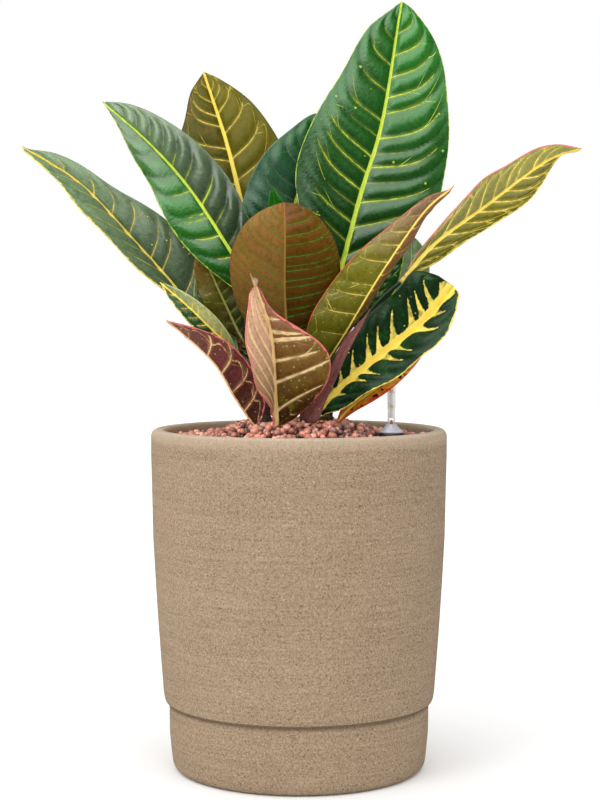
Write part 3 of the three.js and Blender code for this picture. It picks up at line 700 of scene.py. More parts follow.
def leaf_surface(leaf, plant, seed):
    """Vertices, faces and paint values of one leaf.

    Rings across the midrib are carried along the route. Each ring goes over the top from the left margin to
    the right and back underneath. The height over the middle surface is the sum of the half thickness, the
    midrib's round, the camber (zero at midrib and margin), the wave of the margin and the quilting. The
    quilting follows the sine of the vein phase, which is a whole number on each side vein. On the petiole
    the ring is a circle.
    """
    random = np.random.default_rng(seed)
    route = Route(leaf)
    blade_rows = int(np.clip(route.blade_length / BLADE_ROW_SPACING, FEWEST_BLADE_ROWS, MOST_BLADE_ROWS))
    even = np.linspace(0, 1, blade_rows)
    share = even + CROWDING_AT_ENDS * ((1 - np.cos(np.pi * even)) / 2 - even)
    petiole = np.linspace(0, route.blade_start, PETIOLE_ROWS, endpoint=False)
    distance = np.concatenate([petiole, route.blade_start + share * route.blade_length])
    share = np.concatenate([np.zeros(PETIOLE_ROWS), share])
    in_blade = np.arange(len(share)) >= PETIOLE_ROWS

    centre, tangent = route.at(distance), route.heading(distance)
    across = unit(np.cross(tangent, np.array(leaf.face, float)))
    angle = np.radians(leaf.roll[0] + (leaf.roll[1] - leaf.roll[0]) * share)
    if leaf.twist:
        start, turn = leaf.twist
        angle = angle + np.radians(turn) * smooth_step((share - start) / (1 - start))
    across = turned_about(across, tangent, -angle)
    normal = np.cross(across, tangent)

    rib = (SMALL_RIB_AT_BASE if leaf.calm else RIB_AT_BASE) * (1 - share) + RIB_AT_TIP * share
    half_thickness = plant.blade_thickness / MM / 2
    bow = plant.camber / MM
    phase_of_bow = random.uniform(0, 2 * np.pi)
    tops, bottoms, values = {}, {}, {}
    for direction, edge, share_of_quilt in ((-1, leaf.left, leaf.quilt[0]), (1, leaf.right, leaf.quilt[1])):
        quilt = plant.quilt_height / MM * share_of_quilt
        outline = np.where(in_blade, edge.half_width(share), 0)
        width = np.maximum(rib, outline)
        columns = half_columns(width, rib)
        x = columns / width[:, None]
        fold = edge.fold * smooth_step((width / rib - 1) / (FOLD_FULL_WIDTH - 1))
        side, up, slope = side_offsets(columns, fold, direction)
        wave = np.sin(2 * np.pi * (WAVE_COUNT * share + 0.25 * direction))
        wave = wave * np.minimum(1, width / WAVE_FULL_WIDTH)
        lift = (0 if leaf.calm else WAVE_HEIGHT) * wave[:, None] * x**2 * in_blade[:, None]
        along = share[:, None] + np.zeros_like(x)
        veins = leaf.left_veins if direction < 0 else leaf.right_veins
        phase, vein_distance, strength, spacing = vein_field(veins, along, x, width, route.blade_length)
        pillow = np.abs(np.sin(np.pi * phase)) ** PILLOW_POWER
        pillow = pillow * np.minimum(1, spacing / QUILT_FULL_SPACING)
        swell = pillow * smooth_step(x / QUILT_START) * smooth_step((1 - x) / QUILT_END)
        swell = swell * np.minimum(1, width / QUILT_FULL_WIDTH)[:, None] * quilt * in_blade[:, None]
        camber = bow * 4 * x * (1 - x) * np.minimum(1, width / CAMBER_FULL_WIDTH)[:, None]
        bow_wave = np.sin(2 * np.pi * share * CAMBER_WAVES + phase_of_bow + direction)
        camber = camber * (1 - CAMBER_CHANGE + CAMBER_CHANGE * bow_wave)[:, None]
        inside = np.clip((width[:, None] - columns) / EDGE_ROUNDING, 0, 1)
        flat = half_thickness * np.sqrt(1 - (1 - inside) ** 2)
        round_rib = rib[:, None] * np.sqrt(np.clip(1 - (columns / rib[:, None]) ** 2, 0, 1))
        upper = np.maximum(flat, round_rib * RIB_ABOVE) + swell + camber + lift
        lower = -np.maximum(flat, round_rib) + swell * QUILT_BELOW + camber + lift
        out_of_leaf = (np.cos(slope)[..., None] * normal[:, None]
                       - np.sin(slope)[..., None] * direction * across[:, None])
        middle = centre[:, None] + side[..., None] * across[:, None] + up[..., None] * normal[:, None]
        tops[direction] = middle + upper[..., None] * out_of_leaf
        bottoms[direction] = middle + lower[..., None] * out_of_leaf
        outline_slope = np.gradient(outline, distance)
        to_margin = (width[:, None] - columns) / np.sqrt(1 + outline_slope**2)[:, None]
        to_margin = np.where(in_blade[:, None], to_margin, PETIOLE_TO_MARGIN)
        blade_place = (distance - route.blade_start)[:, None] + np.zeros_like(x)
        values[direction] = np.stack([
            blade_place, columns * direction, along, to_margin, x, phase, vein_distance, strength, spacing,
        ], -1)

    ring, paint = (
        np.concatenate([over[-1][:, :0:-1], over[1], under[1][:, -2::-1], under[-1][:, 1:-1]], axis=1)
        for over, under in ((tops, bottoms), (values, values))
    )
    count = ring.shape[1]
    top_columns = 2 * SIDE_COLUMNS + 1
    place = np.arange(count) / (2 * SIDE_COLUMNS)
    turn = np.pi * (1 - place)
    circle = centre[:, None] + rib[:, None, None] * (
        np.cos(turn)[None, :, None] * across[:, None] + np.sin(turn)[None, :, None] * normal[:, None]
    )
    widths = np.where(in_blade, (leaf.left.half_width(share) + leaf.right.half_width(share)) / 2, 0)
    opened = smooth_step((widths / rib - OPENING_START) / OPENING_SPAN)[:, None, None]
    ring = circle + (ring - circle) * opened
    underside = np.zeros(paint.shape[:2])
    underside[:, top_columns:] = 1
    vertices = np.vstack([ring.reshape(-1, 3), centre[:1], centre[-1:] + tangent[-1:] * TIP_REACH])
    paint = paint.reshape(-1, paint.shape[-1])
    paint = np.vstack([paint, paint[:1], paint[-1:]])
    underside = np.concatenate([underside.ravel(), [0, 0]])
    return vertices, tube_faces(len(ring), count), paint, underside


# Leaf paint


class Paint:
    """Colours and markings of a leaf. A colour is a name of PlantSettings, and may have a factor on it.

    left and right give the blade's colour at base, middle and tip, and right is like left if it isn't
    given; midrib its colour and width in mm at base and tip; vein its colour, width in mm, reach (share of
    the half-width) and strength. halo is how much a vein tints the blade beside it, fork how much its
    branches show, loop the strength and place of the arches that join the veins, net the colour, strength
    and mesh in mm of the finest veins, margin the colours of both edges and their width, speckle the
    colour, amount and spacing of dots, shade the colour and amount of dark patches, underside its colour
    and share, petiole its colour. ragged is how unevenly the lines run, blend the round in mm where a vein
    meets the midrib, taper how bluntly a vein ends, roughness what is added to the leaf's own, sheen how
    much the wax mirrors. The last setting is painted light on the quilting: how much darker the blade is
    painted beside the veins and lighter between them.
    """

    def __init__(
        self, left, midrib, vein, right=None, halo=0.2, fork=0.4, loop=(0.0, 0.8), net=("lime", 0.0, 7.0),
        margin=("lime", "lime", 0.6), speckle=("yellow", 0.0, 6.0), shade=("night_green", 0.35),
        underside=("grey_green", 0.6), petiole=("olive", 0.5), ragged=0.35, blend=0.8, taper=0.5,
        roughness=0.0, sheen=0.25, quilt_light=0.2,
    ):
        self.left, self.right = left, right or left
        self.midrib, self.vein = midrib, vein
        self.halo, self.fork, self.loop, self.net = halo, fork, loop, net
        self.margin, self.speckle, self.shade = margin, speckle, shade
        self.underside, self.petiole = underside, petiole
        self.ragged, self.blend, self.taper, self.roughness = ragged, blend, taper, roughness
        self.sheen, self.quilt_light = sheen, quilt_light


def tone(plant, entry):
    """Linear colour of a palette name, or of a name and a factor on its light."""
    name, factor = (entry, 1.0) if isinstance(entry, str) else entry
    return np.array(getattr(plant, name)) * factor


def shades(name, *factors):
    """One colour at base, middle and tip, with a factor on its light at each."""
    return [(name, factor) for factor in factors]


PAINTS = {
    "tall_green": Paint(
        # The right half's light tip is partly the leaf's own green and partly painted highlight.
        left=shades("deep_green", 0.28, 0.8, 1.2), right=shades("deep_green", 0.18, 0.88, 1.8),
        midrib=("lime", 5.4, 2.0), vein=("lime", 1.2, 0.85, 0.95), halo=0.25, fork=0.7,
        margin=("lime", "lime", 0.5), speckle=("lime", 0.6, 11.0), sheen=0.3, quilt_light=0.5,
    ),
    "glossy_green": Paint(
        left=[("fresh_green", 0.22), ("fresh_green", 0.62), ("grey_green", 0.85)],
        # Painted highlight: the right half's grey green, palest at the tip, stands in for the sheen on its
        # quilting.
        right=[("fresh_green", 0.14), ("grey_green", 0.45), ("grey_green", 1.3)],
        midrib=("lime", 3.8, 1.4), vein=("lime", 1.3, 0.7, 0.9), halo=0.25, fork=0.0,
        margin=("lime", "grey_green", 0.7), roughness=-0.08, sheen=0.3, quilt_light=0.6,
    ),
    "olive": Paint(
        left=shades("olive", 0.38, 0.5, 0.5), right=shades("olive", 0.45, 0.72, 0.75),
        midrib=("yellow", 6.0, 2.4), vein=("yellow", 1.3, 0.9, 0.75), fork=0.6,
        loop=(0.4, 0.82), margin=("umber", "umber", 0.8), speckle=("brown", 1.8, 2.2),
        shade=("brown", 0.5), ragged=0.5, sheen=0.08,
    ),
    "blue_green": Paint(
        left=[("blue_green", 0.85), ("blue_green", 1.0), ("deep_green", 1.1)],
        right=[("blue_green", 0.8), ("blue_green", 0.95), ("deep_green", 1.1)],
        midrib=("lime", 3.6, 1.4), vein=("grey_green", 1.4, 0.95, 0.55),
        margin=("grey_green", "grey_green", 0.5),
    ),
    "young_green": Paint(
        left=shades("fresh_green", 0.8, 1.0, 0.9), right=shades("fresh_green", 0.7, 0.9, 0.9),
        midrib=("lime", 2.0, 0.8), vein=("lime", 0.6, 0.6, 0.4),
    ),
    "copper": Paint(
        left=[("umber", 1.3), ("rose_tan", 0.67), ("rose_tan", 0.84)],
        right=[("umber", 0.5), ("brown", 0.5), ("brown", 0.85)], midrib=("rose_tan", 2.2, 1.6),
        vein=("fresh_green", 0.6, 1.1, 0.8), halo=0.15, fork=0.0, loop=(0.75, 0.86),
        margin=("maroon", "maroon", 0.5), speckle=("umber", 0.9, 2.0), shade=("umber", 0.45),
        ragged=0.2, blend=0.3, sheen=0.1,
    ),
    "dark_strap": Paint(
        left=[("blue_green", 0.6), ("grey_green", 1.05), ("grey_green", 1.4)],
        right=[("night_green", 1.2), ("grey_green", 0.8), ("grey_green", 1.35)],
        midrib=("yellow", 3.8, 2.6), vein=("yellow", 1.2, 0.85, 0.7), halo=0.12, fork=0.2,
        margin=("yellow", "grey_green", 1.2), speckle=("yellow", 0.45, 8.0), shade=("night_green", 0.5),
        ragged=0.6,
    ),
    "maroon": Paint(
        left=[("maroon", 0.4), ("maroon", 1.05), ("mauve", 1.35)], midrib=("peach", 1.6, 1.0),
        vein=("peach", 1.4, 1.0, 1.0), fork=0.5, loop=(0.8, 0.66), net=("fresh_green", 0.3, 5.0),
        margin=("pink", "pink", 1.2), speckle=("pink_tan", 1.2, 3.0), ragged=0.8, shade=("umber", 0.3),
        underside=("maroon", 0.0), sheen=0.2,
    ),
    "dark_olive": Paint(
        left=[("umber", 0.9), ("olive", 0.5), ("rose_tan", 0.7)],
        right=[("night_green", 0.8), ("olive", 0.3), ("olive", 0.6)], midrib=("khaki", 2.0, 1.4),
        vein=("lime", 0.6, 0.6, 0.3), margin=("olive", "olive", 0.5), speckle=("fresh_green", 0.9, 6.0),
        sheen=0.12,
    ),
    "pink_fold": Paint(
        left=[("olive", 0.75), ("pink_tan", 1.05), ("pink_tan", 1.35)],
        right=[("olive", 0.08), ("rose_tan", 0.62), ("mauve", 1.7)], midrib=("butter", 6.8, 3.8),
        vein=("butter", 3.0, 1.0, 0.9), halo=0.4, fork=0.6, margin=("pink", "pink", 1.3),
        speckle=("khaki", 1.6, 3.2), shade=("olive", 0.6), ragged=0.7, blend=2.0, sheen=0.16,
    ),
    "small_green": Paint(
        left=shades("fresh_green", 0.3, 0.5, 0.45), midrib=("fresh_green", 1.2, 0.6),
        vein=("fresh_green", 0.6, 0.6, 0.3), margin=("fresh_green", "fresh_green", 0.4), sheen=0.1,
    ),
    "small_olive": Paint(
        left=[("olive", 0.7), ("khaki", 0.7), ("khaki", 0.7)], midrib=("yellow", 2.0, 1.2),
        vein=("yellow", 0.6, 0.6, 0.5),
    ),
    "folded_olive": Paint(
        left=[("olive", 0.52), ("olive", 0.95), ("mauve", 1.15)],
        right=[("umber", 0.5), ("rose_tan", 0.75), ("mauve", 1.5)], midrib=("yellow", 1.0, 1.2),
        vein=("yellow", 0.9, 0.9, 0.85), halo=0.12, fork=0.7, loop=(0.3, 0.8),
        margin=("red", "red", 0.7), speckle=("khaki", 1.3, 2.8), shade=("umber", 0.35), sheen=0.18,
    ),
    "khaki": Paint(
        left=shades("khaki", 0.45, 0.85, 1.05), right=[("olive", 0.7), ("olive", 1.0), ("khaki", 0.5)],
        midrib=("yellow", 4.0, 2.4), vein=("yellow", 1.5, 0.95, 1.0), halo=0.25, fork=0.8,
        loop=(0.5, 0.78), margin=("pink", "yellow", 1.1), speckle=("yellow", 0.25, 6.0),
        petiole=("night_green", 1.2), blend=1.6, ragged=0.8, sheen=0.2,
    ),
    "painted_green": Paint(
        left=shades("night_green", 0.9, 1.1, 1.2), right=shades("night_green", 0.9, 1.2, 1.1),
        midrib=("yellow", 7.5, 12.5), vein=("yellow", 7.5, 0.72, 1.0), halo=0.0, fork=0.0,
        margin=("umber", "yellow", 0.7), speckle=("yellow", 0.5, 8.0), shade=("deep_green", 0.5),
        ragged=1.2, blend=6.0, taper=1.3, sheen=0.1,
    ),
    "spotted": Paint(
        left=[("orange", 0.9), ("orange", 1.4), ("yellow", 0.8)], midrib=("yellow", 2.0, 1.0),
        vein=("yellow", 1.0, 0.7, 0.5), margin=("red", "red", 1.8), speckle=("night_green", 2.8, 5.0),
        shade=("night_green", 0.4), sheen=0.12,
    ),
    "narrow_maroon": Paint(
        left=shades("mauve", 1.0, 1.05, 1.1), right=shades("mauve", 1.2, 1.05, 1.1),
        midrib=("mauve", 1.4, 0.8), vein=("pink", 0.6, 0.8, 0.3), margin=("maroon", "mauve", 0.7),
        speckle=("pink_tan", 1.2, 3.0), shade=("umber", 0.4), underside=("mauve", 0.5), sheen=0.2,
    ),
    "pale_green": Paint(
        left=shades("grey_green", 1.1, 1.3, 1.2), midrib=("cream", 2.0, 1.0),
        vein=("cream", 0.8, 0.6, 0.5), shade=("grey_green", 0.3),
    ),
    "dark_glossy": Paint(
        left=shades("deep_green", 0.3, 0.5, 0.6), midrib=("lime", 2.2, 1.0),
        vein=("lime", 0.6, 0.6, 0.3), halo=0.1,
    ),
    "grey_strip": Paint(
        left=[("night_green", 0.8), ("night_green", 1.0), ("grey_green", 0.7)],
        right=shades("grey_green", 1.0, 1.4, 1.2), midrib=("yellow", 1.4, 1.0),
        vein=("yellow", 0.7, 0.6, 0.4), halo=0.1,
    ),
    "cream_edge": Paint(
        left=[("night_green", 0.9), ("deep_green", 0.5), ("deep_green", 0.6)],
        right=[("cream", 0.8), ("cream", 0.9), ("grey_green", 0.9)], midrib=("yellow", 2.6, 1.6),
        vein=("yellow", 1.2, 0.8, 0.9), margin=("yellow", "cream", 0.9), blend=1.6, ragged=0.5,
    ),
    "back_green": Paint(
        left=shades("deep_green", 0.7, 0.85, 0.9), midrib=("lime", 4.2, 1.6),
        vein=("yellow", 1.2, 0.9, 0.85), halo=0.3, fork=0.6, margin=("lime", "lime", 0.7),
        speckle=("yellow", 0.25, 8.0),
    ),
    "back_painted": Paint(
        left=[("night_green", 1.0), ("deep_green", 0.6), ("olive", 0.6)], midrib=("yellow", 5.6, 4.0),
        vein=("yellow", 2.4, 0.85, 1.0), margin=("yellow", "orange", 0.9), speckle=("yellow", 0.5, 8.0),
        blend=4.0, ragged=0.9,
    ),
    "back_copper": Paint(
        left=[("umber", 1.0), ("brown", 0.7), ("rose_tan", 0.7)], midrib=("orange", 3.6, 1.8),
        vein=("pink", 1.1, 0.9, 0.7), fork=0.6, loop=(0.5, 0.82), margin=("red", "red", 0.8),
        net=("fresh_green", 0.25, 9.0), shade=("umber", 0.4),
    ),
}

TO_BACK = (0, 1, 0)
LEAVES = {
    "leaf_01": Leaf(
        "main", 404, "tall_green", [(33, 38, 450), (60, 56, 547), (82, 74, 621), (102, 106, 741)],
        (69, 0.4, 1.4, 0.92, 4, [(0.9, 4.5), (0.74, -3)]),
        (67, 0.44, 1.5, 0.68, 6, [(0.84, 4), (0.54, 3), (0.35, 9)]), quilt=1.35,
        veins=(
            Veins([
                (0.1, 0.4), (0.17, 0.4), (0.235, 0.7), (0.29, 0.3), (0.345, 1), (0.405, 0.8), (0.46, 1),
                (0.53, 0.3), (0.585, 0.6), (0.685, 0.5), (0.775, 0.5), (0.86, 0.3),
            ], 0.075, 0.1),
            Veins([
                (0.125, 0.5), (0.22, 0.7), (0.305, 1), (0.37, 0.25), (0.425, 1), (0.47, 0.25),
                (0.525, 1), (0.61, 0.8), (0.665, 0.9), (0.735, 0.8), (0.81, 0.7), (0.885, 0.4),
            ], 0.075, 0.1),
        ),
    ),
    "leaf_02": Leaf(
        "main", 388, "glossy_green",
        [(-35, -5, 440), (-63, -4, 488), (-103, 12, 549), (-143, 32, 594), (-191, 60, 637)],
        (36, 0.42, 1, 1.25, 5, [(0.62, -4), (0.86, -2)]), (36, 0.45, 1, 0.85, 5, [(0.9, 2)]),
        quilt=(0.6, 1.9),
        veins=(
            Veins([
                (0.12, 0.5), (0.2, 0.6), (0.29, 0.9), (0.37, 1), (0.39, 0.6), (0.49, 0.7), (0.57, 0.2),
                (0.69, 0.2), (0.78, 0.2), (0.87, 0.2),
            ], 0.03),
            Veins([
                (0.15, 0.3), (0.24, 0.3), (0.33, 0.4), (0.42, 1), (0.53, 0.4), (0.605, 0.4),
                (0.67, 0.3), (0.74, 0.3), (0.81, 0.2), (0.88, 0.2),
            ], 0.06),
        ),
    ),
    "leaf_03": Leaf(
        "main", 402, "olive", [(-44, 64, 482), (-58, 86, 545), (-73, 108, 604), (-97, 140, 676)],
        (57, 0.5, 1, 1, 6, [(0.78, -6), (0.96, 3)]), (53, 0.45, 1, 0.95, 6, [(0.65, -2)]),
        veins=(
            Veins([
                (0.14, 0.6), (0.26, 0.7), (0.385, 0.8), (0.505, 0.8), (0.57, 0.9), (0.69, 0.9),
                (0.745, 0.8), (0.82, 0.5), (0.9, 0.4),
            ], 0.1, 0.1),
            Veins([
                (0.15, 0.6), (0.28, 1), (0.405, 0.7), (0.515, 0.9), (0.65, 0.8), (0.76, 0.8),
                (0.83, 0.6), (0.88, 0.5),
            ], 0.1, 0.1),
        ),
    ),
    "leaf_04": Leaf(
        "main", 416, "blue_green", [(-15, 54, 482), (-5, 66, 535), (9, 78, 577), (43, 98, 633)],
        (50, 0.3, 0.7, 1, 6, [(0.88, 6)]), (50, 0.4, 0.8, 0.9, 6), veins=10,
    ),
    "leaf_05": Leaf(
        "main", 446, "small_green", [(-15, 22, 502), (-21, 24, 529), (-26, 26, 552)],
        (9, 0.45, 0.9, 0.95, 25), (11, 0.45, 0.9, 0.95, 25), calm=True,
    ),
    "leaf_06": Leaf(
        "main", 380, "copper", [(-7, -14, 386), (-13, -26, 444), (-13, -34, 500), (-14, -24, 535)],
        (51, 0.6, 0.9, 0.6, 5), (52, 0.56, 0.95, 0.52, -3), quilt=0.55,
        veins=(
            Veins([
                (0.06, 0.6), (0.09, 0.6), (0.16, 0.7), (0.19, 0.7), (0.27, 0.7), (0.305, 0.8),
                (0.38, 0.7), (0.41, 0.8), (0.475, 0.7), (0.53, 0.9), (0.57, 0.9), (0.66, 0.9),
                (0.69, 0.9), (0.76, 0.8), (0.8, 0.8), (0.86, 0.8),
            ], 0.16),
            Veins([
                (0.07, 0.6), (0.1, 0.6), (0.18, 0.7), (0.21, 0.7), (0.29, 0.8), (0.33, 0.8), (0.4, 0.8),
                (0.47, 0.9), (0.51, 0.8), (0.57, 0.9), (0.6, 0.9), (0.655, 0.9), (0.725, 0.9),
                (0.78, 0.9), (0.85, 0.8),
            ], 0.04, 0.06),
        ),
    ),
    "leaf_07": Leaf(
        "left", 374, "dark_strap",
        [(-83, 22, 406), (-115, 36, 451), (-164, 50, 506), (-214, 66, 558), (-273, 84, 596)],
        (38, 0.6, 1.3, 0.8, 64, [(0.77, -6), (0.95, -5)]),
        (40, 0.26, 0.7, 1.35, 0, [(0.65, -6), (0.92, 4)]), quilt=0.75,
        veins=(
            Veins([
                (0.12, 0.6), (0.21, 0.7), (0.305, 1), (0.39, 0.5), (0.475, 1), (0.57, 0.6), (0.66, 0.6),
                (0.75, 0.5), (0.85, 0.4),
            ], 0.1),
            Veins([
                (0.09, 0.5), (0.185, 0.8), (0.305, 1), (0.365, 0.7), (0.48, 1), (0.575, 0.9),
                (0.67, 0.9), (0.81, 0.7), (0.9, 0.4),
            ], 0.06),
        ),
    ),
    "leaf_08": Leaf(
        "left", 332, "maroon", [(-40, -40, 328), (-58, -48, 353), (-79, -58, 388), (-120, -72, 426)],
        (27, 0.3, 0.5, 1.05, 14), (26, 0.36, 0.7, 0.9, 80), face=TO_BACK, roll=(12, 12), calm=True,
        veins=(
            Veins([(0.14, 1), (0.3, 0.8), (0.46, 1), (0.62, 0.8), (0.8, 0.3)], 0.06),
            Veins([(0.12, 0.9), (0.28, 1), (0.44, 0.9), (0.62, 0.7), (0.8, 0.3)], 0.08),
        ),
    ),
    "leaf_09": Leaf(
        "left", 386, "dark_olive", [(-53, -2, 407), (-71, 4, 443), (-84, 8, 471), (-94, 12, 493)],
        (18, 0.55, 0.8, 0.6, 5), (26, 0.5, 0.8, 0.7, 3), quilt=0.35,
    ),
    "leaf_10": Leaf(
        "left", 327, "pink_fold",
        [(-22, -46, 327), (-23, -66, 367), (-26, -80, 413), (-35, -82, 443), (-44, -76, 468)],
        (44, 0.62, 2, 2.2, 62, [(0.95, 4)]), (53, 0.43, 1, 2.3, 5, [(0.68, -14), (0.8, -5), (0.95, 4)]),
        twist=(0.86, -150),
        veins=(
            Veins([
                (-0.15, 1.2), (0, 1.4), (0.15, 1.2), (0.29, 1.5), (0.43, 1.2), (0.56, 1.4), (0.68, 1),
            ], 0.42),
            Veins([
                (0.12, 0.9, 0.19), (0.31, 1, 0.14), (0.45, 0.7, 0.06), (0.58, 1), (0.64, 1, -0.05),
                (0.72, 0.6, -0.04), (0.8, 0.3, 0),
            ], 0, 0),
        ),
    ),
    "leaf_11": Leaf(
        "left", 378, "small_olive", [(-42, -17, 415), (-49, -17, 440), (-56, -16, 466)],
        (7, 0.5, 0.8, 0.8, 3), (10, 0.5, 0.8, 0.8, 3), calm=True, veins=7,
    ),
    "leaf_12": Leaf(
        "right", 352, "folded_olive",
        [(21, -26, 375), (47, -38, 421), (79, -44, 474), (116, -38, 526), (144, -22, 550)],
        (36, 0.24, 0.6, 1.5, 4, [(0.95, 3)]), (25, 0.34, 0.85, 1, -90), roll=(0, 28), quilt=0.6,
        veins=(
            Veins([
                (0.1, 0.3), (0.2, 0.4), (0.3, 0.9), (0.39, 0.8), (0.44, 0.5), (0.555, 1), (0.64, 0.7),
                (0.71, 0.8), (0.8, 0.5), (0.89, 0.4),
            ], -0.07, 0.03),
            even_veins(9),
        ),
    ),
    "leaf_13": Leaf(
        "right", 386, "khaki",
        [(98, 16, 463), (131, 28, 499), (180, 44, 535), (240, 62, 579), (277, 74, 593)],
        (17, 0.52, 1, 0.7, 10, [(0.24, -3), (0.55, 6), (0.8, 4)]),
        (19, 0.5, 1, 0.8, 10, [(0.17, 4), (0.65, 4.5), (0.92, -7)]), petiole=[(73, 6, 440)],
        veins=(
            Veins([
                (0.07, 0.6), (0.14, 0.9), (0.25, 1), (0.375, 1), (0.455, 0.9), (0.53, 0.7), (0.6, 1),
                (0.655, 0.8), (0.75, 1), (0.81, 0.8), (0.89, 0.5),
            ], 0.11),
            Veins([
                (0.08, 0.5), (0.17, 0.7), (0.27, 1), (0.36, 0.7), (0.445, 1), (0.52, 0.9), (0.6, 1),
                (0.69, 0.9), (0.78, 0.6), (0.87, 0.4),
            ], 0.12),
        ),
    ),
    "leaf_14": Leaf(
        "right", 334, "painted_green",
        [(16, -37, 337), (42, -42, 365), (77, -50, 394), (116, -58, 426), (141, -60, 457)],
        (38, 0.66, 0.8, 0.25, -2, [(0.96, 9)]),
        (37, 0.7, 0.8, 0.42, 50, [(0.1, 4), (0.88, -7), (0.64, -2)]),
        veins=(
            Veins([
                (0.12, 0.5), (0.2, 0.6), (0.29, 0.8), (0.4, 0.9), (0.47, 0.8), (0.565, 1), (0.69, 1),
                (0.76, 0.9), (0.84, 1), (0.93, 0.6),
            ], 0.12),
            Veins([
                (0.14, 0.5), (0.27, 0.6), (0.34, 0.7), (0.47, 0.9), (0.55, 0.7), (0.7, 0.9), (0.8, 0.6),
                (0.9, 0.6),
            ], 0.12),
        ),
    ),
    "leaf_15": Leaf(
        "right", 327, "spotted", [(32, -26, 327), (50, -29, 346), (80, -38, 369), (116, -44, 400)],
        (12, 0.5, 1.2, 0.8, 3), (9, 0.58, 0.9, 0.6, 3), calm=True, veins=8,
    ),
    "leaf_16": Leaf(
        "right", 330, "narrow_maroon", [(7, -42, 330), (25, -52, 362), (41, -60, 397), (65, -64, 436)],
        (5.2, 0.4, 0.6, 0.9, 20, [(0.08, 7), (0.7, 1.8)]), (4.6, 0.4, 0.6, 0.9, 20, [(0.08, 7)]),
        calm=True, veins=10,
    ),
    "leaf_17": Leaf(
        "main", 399, "pale_green", [(71, 46, 420), (94, 50, 449), (108, 54, 476), (110, 58, 507)],
        (20, 0.5, 0.8, 0.7, 5), (22, 0.5, 0.8, 0.7, 5),
    ),
    "leaf_18": Leaf(
        "main", 390, "dark_glossy", [(49, 22, 421), (70, 26, 452), (85, 28, 479), (98, 30, 502)],
        (20, 0.4, 0.4, 0.7, 5), (19, 0.4, 0.4, 0.7, 5),
    ),
    "leaf_19": Leaf(
        "left", 352, "grey_strip", [(-56, -4, 375), (-73, 6, 408), (-87, 12, 437), (-96, 16, 475)],
        (13, 0.5, 0.8, 0.8, 3), (14, 0.5, 0.8, 0.8, 3), calm=True,
    ),
    "leaf_20": Leaf(
        "main", 410, "young_green", [(-37, 104, 495), (-31, 116, 555), (-37, 124, 624)],
        (20, 0.5, 0.8, 0.8, 5), (24, 0.5, 0.8, 0.8, 5),
    ),
    "leaf_21": Leaf(
        "left", 364, "cream_edge",
        [(-59, -22, 396), (-81, -24, 417), (-104, -22, 439), (-130, -16, 461)], (12, 0.4, 0.9, 0.9, 20),
        calm=True,
    ),
    "leaf_22": Leaf(
        "main", 384, "back_green", [(8, 70, 430), (14, 130, 490), (20, 185, 530), (24, 232, 545)],
        (38, 0.5, 0.9, 0.9, 10), face=(0, -0.6, 1), veins=12,
    ),
    "leaf_23": Leaf(
        "main", 370, "back_painted", [(36, 60, 410), (62, 105, 452), (86, 150, 480), (104, 190, 490)],
        (34, 0.5, 0.9, 0.9, 10), face=(-0.3, -0.5, 1), veins=10,
    ),
    "leaf_24": Leaf(
        "main", 374, "back_copper",
        [(-30, 64, 420), (-60, 105, 470), (-86, 150, 505), (-104, 190, 515)], (34, 0.5, 0.9, 0.9, 10),
        face=(0.3, -0.5, 1), veins=10,
    ),
    "leaf_25": Leaf(
        "left", 348, "back_painted", [(-38, 40, 370), (-44, 90, 400), (-52, 140, 415), (-58, 190, 412)],
        (32, 0.5, 0.9, 0.8, 10), face=(0, -0.4, 1), veins=10,
    ),
    "leaf_26": Leaf(
        "right", 348, "back_green", [(52, 40, 372), (76, 80, 402), (98, 120, 420), (116, 160, 422)],
        (28, 0.5, 0.9, 0.8, 10), face=(-0.2, -0.4, 1), veins=10,
    ),
    "leaf_27": Leaf(
        "main", 424, "back_green", [(30, 70, 480), (48, 96, 545), (64, 118, 610), (78, 140, 660)],
        (36, 0.5, 0.9, 0.9, 10), face=(0, -1, 0.4), veins=12,
    ),
    "leaf_28": Leaf(
        "left", 360, "back_copper", [(-58, 34, 392), (-82, 66, 420), (-104, 96, 440), (-124, 126, 448)],
        (22, 0.5, 0.9, 0.9, 10), face=(0.3, -0.4, 1),
    ),
}


HALF_BLEND = 1.5


def blade_tint(plant, paint, along, side):
    """Colour of the blade by share of its length, eased through the three stops of the half it is on."""
    stops = (0.0, 0.5, 1.0)
    halves = []
    for entries in (paint.left, paint.right):
        tones = np.array([tone(plant, entry) for entry in entries])
        halves.append(np.stack([np.interp(along, stops, tones[:, i]) for i in range(3)], -1))
    right = smooth_step((side + HALF_BLEND) / (2 * HALF_BLEND))[:, None]
    return halves[0] * (1 - right) + halves[1] * right


def branch_mask(recipe, step, x, draw, spacing, wobble):
    """Mask of a branch that leaves a side vein part of the way out and runs on slantwise between two veins.

    The step is the distance from the vein as a share of the spacing. Three draws set where the branch
    starts, how steeply it runs and how strongly it shows.
    """
    m = recipe.math
    first, second, third = recipe.split(draw)
    outward = minus(x, plus(0.35, times(first, 0.4)))
    slant = times(outward, plus(1.2, times(second, 2.2)))
    apart = times(m("ABSOLUTE", minus(step, slant)), times(spacing, 0.8))
    line = recipe.ramp(plus(minus(apart, 0.3), wobble), 0.35, -0.3)
    begun = m("GREATER_THAN", outward, 0.0)
    fading = recipe.ramp(step, 0.55, 0.3)
    return times(times(line, begun), times(fading, recipe.ramp(third, 0.45, 0.8)))


